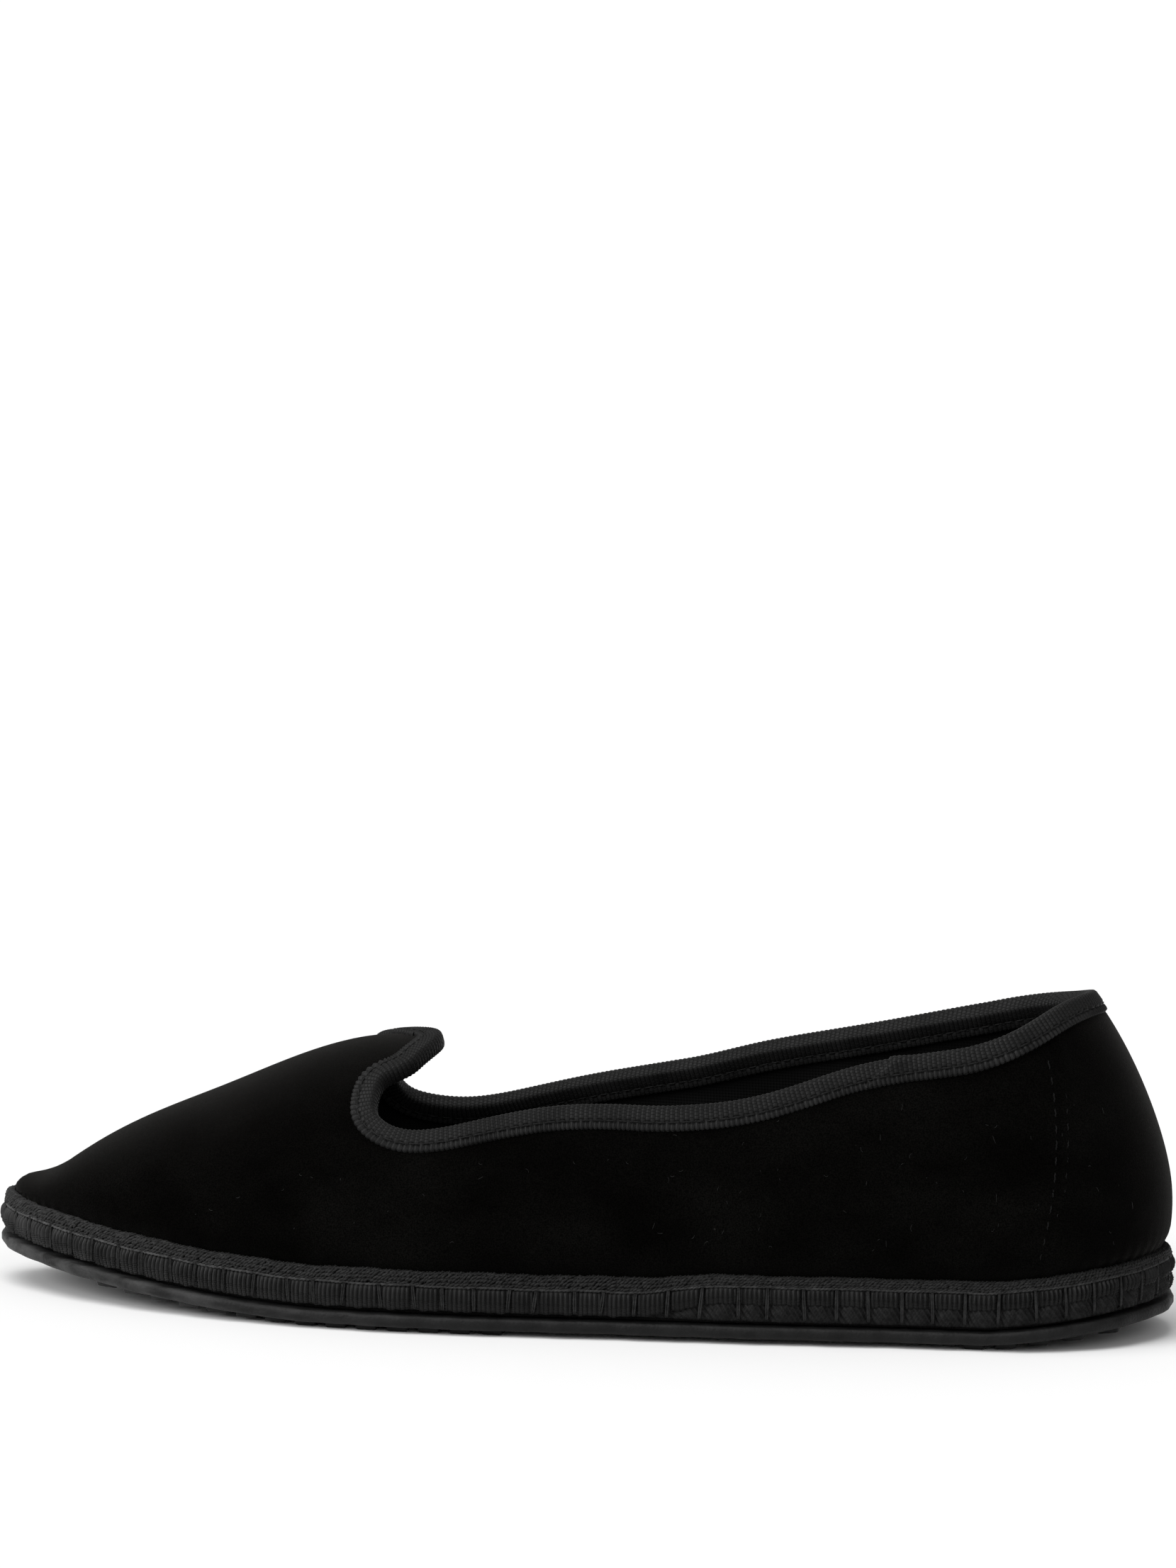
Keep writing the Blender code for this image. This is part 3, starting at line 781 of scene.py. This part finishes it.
class Band:
    """The strip of the last along the upper's edge, measured in depth from the edge and in run."""

    def __init__(self, count):
        self.turn, self.climb, self.points, self.run, self.whole = edge_line(count)
        along = np.roll(self.points, -1, axis=0) - np.roll(self.points, 1, axis=0)
        by_turn, by_climb, out = surface_frame(self.turn, self.climb)
        into = unit(np.cross(out, along))
        first = last(self.turn[:1], self.climb[:1] - 0.05) - self.points[:1]
        if float((into[:1] * first).sum()) < 0:
            into = -into
        ways = np.stack([by_turn, by_climb], axis=-2)
        target = ways @ into[..., None]
        self.scale = np.linalg.solve(ways @ ways.swapaxes(-1, -2), target)[..., 0]

    def at(self, depth, reach, inner=False):
        """Points this deep from the edge and this far off the wall's outer or inner face."""
        turn = self.turn + self.scale[:, 0] * depth
        climb = self.climb + self.scale[:, 1] * depth
        face = last(turn, climb, UPPER_WALL if inner else 0.0)
        way = surface_frame(turn, climb)[2]
        return face + way * (np.asarray(reach) * (-1 if inner else 1))[..., None]

    def middle(self, depth):
        turn = self.turn + self.scale[:, 0] * depth
        climb = self.climb + self.scale[:, 1] * depth
        return (last(turn, climb) + last(turn, climb, UPPER_WALL)) / 2


def joint_step(band, depth):
    """Extra height where one slanted end of the binding laps over the other."""
    near = band.run - band_run_at(band, JOINT_PLACE) - JOINT_SLANT * depth
    return JOINT_HEIGHT * smooth(1 + near / JOINT_LENGTH) * smooth(-near / 0.0004)


def band_run_at(band, along):
    """Run along the outer side's edge where it passes this share of the length."""
    half = band.run < band.whole / 2
    gap = np.abs(along_of(band.turn) - along) + np.where(half, 0, 9)
    return band.run[int(np.argmin(gap))]


def make_binding():
    """The folded tape: its outer leg, its fold over the upper's edge and its inner leg, all ribbed."""
    ribs = round(edge_line(8)[4] / RIB_PITCH)
    band = Band(ribs * RIB_STEPS)
    rib = np.cos(2 * math.pi * band.run * ribs / band.whole)
    rings, cells = [], [0.1]
    previous = 1.0
    for share in OUTER_LEG:
        depth = BINDING_LEG * share
        groove = GROOVE_DEPTH * bell(depth - STITCH_DEPTH, GROOVE_WIDTH)
        outside = depth > STITCH_DEPTH
        teeth = 1.5 if outside else 1.0
        scallop = 0.00008 * rib if share > 0.9 else 0.0
        face = BINDING_TOP * OUTER_RISE.get(share, 0.80 if outside else 1.0)
        lap = joint_step(band, depth)
        rings.append(band.at(depth + scallop, face + RIB_HEIGHT * teeth * rib - groove + lap))
        cells.append(cells[-1] + (0.06 if outside else BINDING_LEG * (previous - share) / FLOAT_LENGTH))
        previous = share
    middle = band.middle(0.0)
    out = band.at(0.0, np.zeros_like(band.run)) - middle
    half = np.linalg.norm(out, axis=-1)
    away = unit(middle - band.middle(0.001))
    for k in range(1, FOLD_STEPS):
        angle = math.pi * (0.5 - k / FOLD_STEPS)
        rise = BINDING_TOP + RIB_HEIGHT * 0.6 * rib + lap * 0.5
        sideways = unit(out) * ((half + rise) * math.copysign(abs(math.sin(angle)) ** 0.8, angle))[:, None]
        rings.append(middle + sideways + away * (rise * math.cos(angle) ** 0.8)[:, None])
        cells.append(cells[-1] + 0.0007 / FLOAT_LENGTH)
    previous = 0.0
    for share in INNER_LEG:
        depth = BINDING_LEG * share
        groove = GROOVE_DEPTH * bell(depth - STITCH_DEPTH, GROOVE_WIDTH)
        face = 0.0 if share == 1.0 else BINDING_TOP + RIB_HEIGHT * rib - groove
        rings.append(band.at(depth, face + 0 * band.run, inner=True))
        cells.append(cells[-1] + BINDING_LEG * (share - previous) / FLOAT_LENGTH)
        previous = share
    rings.append(band.middle(BINDING_LEG))
    cells.append(cells[-1] + 1)
    finish = grosgrain("grosgrain", 0.0040, 0.0130, 0.0130)
    binding = woven_piece("binding_tape", rings, cells, RIB_STEPS, finish)
    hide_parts("topline_binding")


def make_binding_stitches():
    """Two rows of machine stitches, outside and inside, sunk in their groove."""
    count = round(edge_line(8)[4] / STITCH_PITCH)
    steps = 10
    band = Band(count * steps)
    used = round(steps * STITCH_LENGTH / STITCH_PITCH) + 1
    paths = []
    arch = np.sin(math.pi * np.arange(used) / (used - 1))
    lap = joint_step(band, STITCH_DEPTH)
    for inner in (False, True):
        line = band.at(STITCH_DEPTH, 0 * band.run, inner)
        raised = band.at(STITCH_DEPTH, 0 * band.run + 0.001, inner)
        way = unit(raised - line)
        for k in range(count):
            index = (k * steps + np.arange(used)) % (count * steps)
            height = BINDING_TOP - GROOVE_DEPTH + 0.00022 * arch + (0 if inner else lap[index])
            paths.append(line[index] + way[index] * height[:, None])
    points, faces = tubes(paths, THREAD_RADIUS)
    add_mesh("binding_stitches", points, faces, yarn("thread", 0.003, 0.010, 0.45))


# The tape round the sole.


def rim_line(count):
    """Turns round the outline, evenly spaced along it, with the run at each."""
    fine = np.linspace(0, 2 * math.pi, 4001)[:-1]
    plan = rim(fine)
    gone, whole = running_length(plan)
    wanted = whole * np.arange(count) / count
    return np.interp(wanted, gone, fine), wanted, whole


def blanket_places():
    """Runs at which the vertical stitches stand, a little uneven as by hand."""
    _, _, whole = rim_line(16)
    count = round(whole / BLANKET_PITCH)
    chance = random.Random(7)
    return np.array([(k + chance.uniform(-0.10, 0.10)) * whole / count for k in range(count)]), whole


def to_nearest(run, places, whole):
    """Signed distance from each run to the nearest of these places, round the loop."""
    gap = run[:, None] - places[None, :]
    gap = (gap + whole / 2) % whole - whole / 2
    index = np.argmin(np.abs(gap), axis=1)
    return gap[np.arange(len(run)), index]


def tape_face(turn, share, out):
    """Point of the tape's face: share of its height, and how far it stands out of its middle surface."""
    inset = TAPE_OUT - np.asarray(out) + 0 * turn
    plan = outline(turn, inset)
    foot = TAPE_FOOT + TAPE_HEEL_RISE * heel_part(plan[..., 0])
    return raised(plan, foot + (TAPE_TOP - foot) * share + stack(plan[..., 0]))


def tape_height(turn):
    """Height of the tape at these turns, from its foot to its top."""
    return TAPE_TOP - TAPE_FOOT - TAPE_HEEL_RISE * heel_part(rim(turn)[..., 0])


def layers_height(turn):
    """Height of the cloth layers that show under the tape, from the recess over the rubber."""
    heel = heel_part(rim(turn)[..., 0])
    return TAPE_RISE - RECESS + (TAPE_HEEL_RISE + HEEL_LAYERS) * heel


def pillow(gap, width):
    """1 between two stitches, falling to 0 at each."""
    return 1 - bell(gap, width)


def make_tape():
    """The ribbed tape, drawn in by its cord and by each stitch, so that it puffs between them."""
    places, whole = blanket_places()
    ribs = round(whole / BAND_PITCH)
    turn, run, whole = rim_line(ribs * BAND_STEPS)
    gap = to_nearest(run, places, whole)
    rib = np.cos(2 * math.pi * run * ribs / whole)
    x = rim(turn)[:, 0]
    strong = 0.7 + 0.6 * smooth((-0.03 - x) / 0.06) + 0.3 * smooth((x - 0.06) / 0.04)
    ragged = 0.018 * np.sin(run * 2300) * np.sin(run * 410) + 0.012 * np.sin(run * 830)
    rings = [tape_face(turn, 0.0, -0.0022)]
    cells = [0.0, 0.1]
    lower = np.linspace(0, CORD_SHARE, TAPE_LINES - 6)
    upper = np.linspace(CORD_SHARE, 1.0, 7)[1:]
    for share in np.concatenate([lower, upper]):
        below = share < CORD_SHARE
        level = share / CORD_SHARE
        body = math.sin(math.pi * min(0.10 + 0.86 * level, 1.0)) ** 0.5 if below else 0.0
        swell = 0.00105 * body * pillow(gap, 0.0012) - 0.00035 * (1 - body) * below
        ribbed = 0.00034 * strong * rib * min(1.0, 0.20 + 1.7 * level) * below * min(1.0, 4 * (1 - level))
        cross = 0.00010 * math.cos(2 * math.pi * share / 0.10) * (level < 0.40)
        lean = -0.00055 - 0.00065 * (share - CORD_SHARE) / (1 - CORD_SHARE) if not below else 0.0
        out = swell + ribbed + cross + lean
        rings.append(tape_face(turn, share + ragged * (1 - level if below else 0.3), out))
        cells.append(cells[-1] + (0.93 if level < 0.4 else 0.02))
    rings.append(tape_face(turn, 1.0, -0.0016))
    cells.append(cells[-1] + 1)
    finish = grosgrain("rand_cloth", 0.0045, 0.0125, 0.0460)
    tape = woven_piece("rand_band", rings, cells, BAND_STEPS, finish)
    # Painted shade: the tape behind the knit loops is coloured far darker than the rest of the tape.
    tape.data.materials.append(yarn("knit_ground", 0.0008, 0.0022, 0.8))
    behind_knit = np.tile(np.arange(len(rings)) >= TAPE_LINES - 6, len(turn))
    tape.data.polygons.foreach_set("material_index", behind_knit.astype(int))
    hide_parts("rand_tape")


def make_blanket_stitch():
    """The cord along the tape, and the double stitches that drop from it under the tape or the layers."""
    places, whole = blanket_places()
    turn, run, _ = rim_line(2400)
    gap = to_nearest(run, places, whole)
    pull = bell(gap, 0.0012)
    sway = 0.012 * np.sin(2 * math.pi * run / (BLANKET_PITCH * 2.7))
    cord = tape_face(turn, CORD_SHARE + 0.012 * pull + sway, 0.00030 - 0.00010 * pull)
    points, faces = tubes([cord], YARN_RADIUS, 8, 0.25, 0.0018, closed=True)
    add_mesh("blanket_cord", points, faces, yarn("stitch_cord", 0.010, 0.036, 0.40, 2.6))
    chance = random.Random(11)
    steps = np.linspace(0, 1, 20)
    paths = []
    for place in places:
        at = np.interp(place, run, turn)
        lean = chance.uniform(-0.0008, 0.0008)
        level = CORD_SHARE + 0.02 + float(np.interp(place, run, sway))
        low = -float(layers_height(at)) / float(tape_height(at))
        for strand in (-1, 1):
            spread = strand * (0.00014 + 0.00008 * np.sin(math.pi * steps))
            drift = at + (lean * steps + spread) / HALF
            share = level + (low - level) * steps
            stand = 0.00012 + 0.00038 * np.sin(math.pi * steps) ** 0.6
            under = 0.0022 * smooth((steps - 0.90) / 0.10)
            paths.append(tape_face(drift, share, stand - under))
        paths.append(tape_face(at + np.linspace(-0.0005, 0.0005, 6) / HALF, level, 0.0006))
    points, faces = tubes(paths, YARN_RADIUS * 0.62, 6, 0.15, 0.0016)
    finish = yarn("stitch_drop", 0.008, 0.026, 0.45, 0.8)
    add_mesh("blanket_stitches", points, faces, finish)


def make_knit_edge():
    """The tape's upper border: chains of small uneven loops."""
    _, _, whole = rim_line(16)
    chance = random.Random(5)
    paths = []
    for share, sway, stand, pitch in KNIT_ROWS:
        count = round(whole / pitch)
        turn, run, _ = rim_line(count * 8)
        uneven = sum(0.35 * np.sin(2 * math.pi * run / whole * chance.randint(60, 400)) for _ in range(4))
        phase = 2 * math.pi * run * count / whole + uneven
        slow = 0.014 * np.sin(2 * math.pi * run / whole * 23) + 0.010 * np.sin(2 * math.pi * run / whole * 71)
        for strand in (0, 1):
            turned = phase + math.pi * strand
            height = share + slow + sway * (1 + 0.4 * uneven) * np.sin(turned)
            out = stand + 0.00046 * np.cos(turned + 0.5)
            paths.append(tape_face(turn + 0.0022 * np.sin(2 * turned), height, out))
    points, faces = tubes(paths, KNIT_RADIUS, 4, 0.12, 0.0013, closed=True)
    add_mesh("knit_border", points, faces, yarn("knit_yarn", 0.005, 0.020, 0.5))


# Between the tape and the outsole.


def make_layers():
    """The pressed core, and the twisted yarn that puffs out under the tape along the heel half."""
    turn, _, _ = rim_line(900)
    x = rim(turn)[:, 0]
    heel = heel_part(x)
    bottom = MIDSOLE_FOOT + lift(x)
    space = TAPE_RISE - 2 * CLEARANCE + (TAPE_HEEL_RISE + HEEL_LAYERS) * heel
    rings = []
    for share, out in ((0.0, 0.0), (0.15, 0.8), (0.5, 0.9), (0.85, 0.8), (1.0, 0.1)):
        plan = outline(turn, UPPER_INSET - 0.0006 - LEDGE_REACH * heel * out * 0.6)
        rings.append(raised(plan, bottom + space * share))
    top = outline(turn, UPPER_INSET + 0 * turn)
    rings.append(raised(top, MIDSOLE_TOP + stack(top[:, 0])))
    core = capped_piece("textile_core", rings, yarn("pressed_cloth", 0.002, 0.006, 0.9))
    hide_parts("midsole")
    places, _ = blanket_places()
    turn, run, whole = rim_line(3600)
    kept = np.where(heel_part(rim(turn)[:, 0]) > 0.02)[0]
    turn, run = turn[kept], run[kept]
    gap = to_nearest(run, places, whole)
    height, low = tape_height(turn), layers_height(turn)
    part = heel_part(rim(turn)[:, 0])
    rings = []
    for step in np.linspace(0, 1, 15):
        level = -low * (1 - step) + 0.0006 * step
        body = math.sin(math.pi * (0.06 + 0.88 * step)) ** 0.55
        strands = 0.00026 * np.cos(2 * math.pi * (run / 0.00120 + step * 2.3 + 0.2 * np.sin(run * 900)))
        fine = 0.00010 * np.cos(2 * math.pi * (run / 0.00070 - step * 4.1))
        puff = (0.00125 * pillow(gap, 0.0018) + 0.00005) * body
        out = part * (puff - 0.00040 + (strands + fine) * body) - 0.0012 * (1 - part)
        rings.append(tape_face(turn, level / height, out))
    rings.insert(0, tape_face(turn, -low / height, -0.0016))
    rings.append(tape_face(turn, 0.0006 / height, -0.0016))
    grid = np.stack(rings, axis=1)
    rows, columns = grid.shape[:2]
    faces = strip_faces(rows, columns, False, True)
    faces += [tuple(range(columns))[::-1], tuple((rows - 1) * columns + k for k in range(columns))]
    add_mesh("core_yarns", grid, faces, yarn("core_yarn", 0.003, 0.014, 0.5))


def capped_piece(name, rings, finish):
    """A closed piece from rings stacked upwards."""
    grid = np.stack(rings, axis=1)
    rows, columns = grid.shape[:2]
    faces = strip_faces(rows, columns, True, False)
    for level in (0, columns - 1):
        faces += cap_faces(rows, columns, level)
    return add_mesh(name, grid, faces, finish)


def cap_faces(rows, columns, level):
    """Closes an outline with strips from its outer side to its inner side."""
    faces = []
    for k in range(1, rows // 2 + 1):
        corners = []
        for row in (k - 1, k, (rows - k) % rows, (rows - k + 1) % rows):
            corner = row * columns + level
            if corner not in corners:
                corners.append(corner)
        if len(corners) > 2:
            faces.append(tuple(corners) if level else tuple(reversed(corners)))
    return faces


def make_insole():
    """Cloth over a thin pad: flat in the middle, turned down at its edge."""
    turn, _, _ = rim_line(600)
    rings = []
    for inset, height in PAD_PROFILE:
        plan = outline(turn, UPPER_INSET + UPPER_WALL + inset + 0 * turn)
        rings.append(raised(plan, FEATHER_HEIGHT + INSOLE_THICKNESS * height + stack(plan[:, 0])))
    pad = capped_piece("insole_cloth", rings, lining_cloth())
    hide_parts("insole")


# The rubber sole.


def make_outsole(finish):
    turn, run, _ = rim_line(720)
    uneven = 0.00018 * np.sin(run * 330) + 0.00012 * np.sin(run * 791 + 2)
    rings = []
    for inset, height in SOLE_PROFILE:
        plan = outline(turn, inset + uneven)
        rings.append(raised(plan, LUG_DEPTH + OUTSOLE_THICKNESS * height + lift(plan[:, 0])))
    slab = capped_piece("rubber_sole", rings, finish)
    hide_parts("outsole")


def lug_rows():
    rows = []
    for start, end in LUG_FIELDS:
        count = int((end - start) * LENGTH // LUG_PITCH)
        first = (start + end - 1) / 2 * LENGTH - (count - 1) * LUG_PITCH / 2
        rows += [first + k * LUG_PITCH for k in range(count)]
    return rows


def side_limits(x):
    turn = turn_of(along_of_x(x))
    return float(rim(turn)[1]) + LUG_EDGE, float(rim(2 * math.pi - turn)[1]) - LUG_EDGE


def make_lugs(finish):
    """Rounded rubber lugs with a worn, slightly crowned foot."""
    mesh = bmesh.new()
    half = LUG_LENGTH / 2
    for x in lug_rows():
        fore, aft = side_limits(x - half), side_limits(x + half)
        outer, inner = max(fore[0], aft[0]), min(fore[1], aft[1])
        count = max(1, round((inner - outer + LUG_GAP) / (LUG_WIDTH + LUG_GAP)))
        width = (inner - outer + LUG_GAP) / count - LUG_GAP
        for k in range(count):
            middle = outer + width / 2 + k * (width + LUG_GAP)
            made = bmesh.ops.create_cube(mesh, size=1.0)["verts"]
            for vert in made:
                dx, dy = vert.co.x * LUG_LENGTH, vert.co.y * width
                foot = vert.co.z < 0
                px = x + dx * (0.94 if foot else 1.0)
                py = middle + dy * (0.96 if foot else 1.0)
                base = 0.0 if foot else LUG_DEPTH + LUG_ROUND
                vert.co = (px, py, base + float(lift(px)))
            edges = {edge for vert in made for edge in vert.link_edges}
            bmesh.ops.bevel(mesh, geom=list(edges), offset=LUG_ROUND, segments=3, profile=0.6, affect="EDGES")
    data = bpy.data.meshes.new("tread_lugs")
    mesh.to_mesh(data)
    mesh.free()
    add_piece("tread_lugs", data, finish)


# Small things on the velvet.


def make_seam_stitches():
    """Two rows of dashes down the side seam near the heel, on both sides of the shoe."""
    steps = np.linspace(0, 1, 7)
    paths = []
    for inner in (False, True):
        for offset in SEAM_ROWS:
            for low in np.arange(0.004, 0.046, SEAM_PITCH):
                points = seam_points(low + steps * SEAM_STITCH, offset, inner)
                if points is None:
                    continue
                line, way = points
                paths.append(line + way * (0.00012 + 0.00016 * np.sin(math.pi * steps))[:, None])
    points, faces = tubes(paths, THREAD_RADIUS)
    add_mesh("seam_stitches", points, faces, yarn("seam_thread", 0.0016, 0.0036, 0.7))


def seam_points(heights, offset, inner):
    """Points on the seam's line at these heights over the tape, moved sideways by offset."""
    near = turn_of(np.linspace(0.89, 0.96, 91))
    turns, climbs = np.meshgrid(near, np.radians(np.linspace(1, 38, 149)), indexing="ij")
    sided = math.pi - climbs if inner else climbs
    edge_climbs = EDGE_INNER if inner else EDGE_OUTER
    grid = last(turns, sided)
    found = []
    for height in heights:
        error = (seam_side(grid) - offset) ** 2 + (over_tape(grid) - height) ** 2
        spot = np.unravel_index(int(np.argmin(error)), error.shape)
        edge = float(np.interp(along_of(turns[spot]), EDGE_ALONG, edge_climbs))
        if climbs[spot] > edge - math.radians(4.5):
            return None
        found.append((turns[spot], sided[spot]))
    turn, climb = np.array(found).T
    return last(turn, climb), surface_frame(turn, climb)[2]


def make_lint():
    """A few short hairs and threads caught in the pile."""
    chance = random.Random(21)
    paths = []
    for _ in range(LINT_COUNT):
        turn = float(turn_of(0.10 + 0.885 * chance.random() ** 0.6))
        climb = math.radians(chance.uniform(4, 27))
        if chance.random() < 0.5:
            climb = math.pi - climb
        length = chance.uniform(0.0003, 0.0014)
        heading = chance.uniform(0, 6.28)
        curl = chance.uniform(-2.4, 2.4)
        steps = np.linspace(0, 1, 7)
        bend = heading + curl * steps
        du = np.cumsum(np.cos(bend)) * length / 7 / 0.12
        dv = np.cumsum(np.sin(bend)) * length / 7 / 0.05
        line = last(turn + du, climb + dv)
        way = surface_frame(turn + du, climb + dv)[2]
        paths.append(line + way * (0.00035 + 0.0004 * steps * chance.random())[:, None])
    points, faces = tubes(paths, LINT_RADIUS, 4)
    add_mesh("lint", points, faces, yarn("lint", 0.010, 0.035, 0.6))


# Stage, light and camera.


def make_stage():
    data = bpy.data.meshes.new("floor")
    size = FLOOR_SIZE / 2
    corners = [(-size, -size, 0), (size, -size, 0), (size, size, 0), (-size, size, 0)]
    data.from_pydata(corners, [], [(0, 1, 2, 3)])
    floor = add_object("floor", data)
    data.materials.append(new_material("pale_floor", (0.86, 0.86, 0.86), 0.9, 0.0, 0.5, 0.0)[0])
    world = bpy.data.worlds.new("studio")
    bpy.context.scene.world = world
    world.use_nodes = True
    background = world.node_tree.nodes["Background"]
    background.inputs["Color"].default_value = (1, 1, 1, 1)
    background.inputs["Strength"].default_value = WORLD_STRENGTH
    bpy.context.scene.view_settings.view_transform = "Standard"


def add_sun(name, way_from, strength, softness):
    """A wide soft light from this direction, even over the whole floor."""
    data = bpy.data.lights.new(name, "SUN")
    data.energy = strength
    data.angle = math.radians(softness)
    lamp = add_object(name, data)
    lamp.rotation_euler = (-Vector(way_from)).to_track_quat("-Z", "Y").to_euler()


def make_lights():
    add_sun("overhead", (-0.2, -0.3, 1.0), 1.7, 50)
    add_sun("front_left", (-1.0, -1.0, 0.75), 1.55, 30)
    add_sun("front_right", (0.5, -1.0, 0.55), 0.45, 30)


def make_camera():
    azimuth, elevation = math.radians(AZIMUTH), math.radians(ELEVATION)
    level = math.cos(elevation)
    back = Vector((math.sin(azimuth) * level, -math.cos(azimuth) * level, math.sin(elevation)))
    focal = PIXELS_PER_METRE * DISTANCE
    data = bpy.data.cameras.new("camera")
    data.sensor_fit = "AUTO"
    data.sensor_width = SENSOR
    data.lens = focal / PHOTO_HEIGHT * SENSOR
    camera = add_object("camera", data)
    camera.location = TARGET + back * DISTANCE
    yaw = math.atan((TARGET_PIXEL[0] - PHOTO_WIDTH / 2) / focal)
    pitch = math.atan((TARGET_PIXEL[1] - PHOTO_HEIGHT / 2) / focal)
    turned = (-back).to_track_quat("-Z", "Y").to_matrix()
    turned = turned @ Matrix.Rotation(yaw, 3, "Y") @ Matrix.Rotation(pitch, 3, "X")
    turned = turned @ Matrix.Rotation(math.radians(ROLL), 3, "Z")
    camera.rotation_euler = turned.to_euler()
    bpy.context.scene.camera = camera


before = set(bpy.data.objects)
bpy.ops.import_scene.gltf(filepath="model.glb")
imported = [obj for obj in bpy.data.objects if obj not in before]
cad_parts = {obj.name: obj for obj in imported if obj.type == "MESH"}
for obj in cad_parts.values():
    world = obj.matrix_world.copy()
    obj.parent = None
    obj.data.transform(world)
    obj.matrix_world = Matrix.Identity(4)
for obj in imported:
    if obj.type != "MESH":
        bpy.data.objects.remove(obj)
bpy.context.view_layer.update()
make_camera()
make_stage()
make_lights()
make_upper()
make_binding()
make_binding_stitches()
make_tape()
make_blanket_stitch()
make_knit_edge()
make_layers()
make_insole()
black_rubber = rubber()
make_outsole(black_rubber)
make_lugs(black_rubber)
make_seam_stitches()
make_lint()
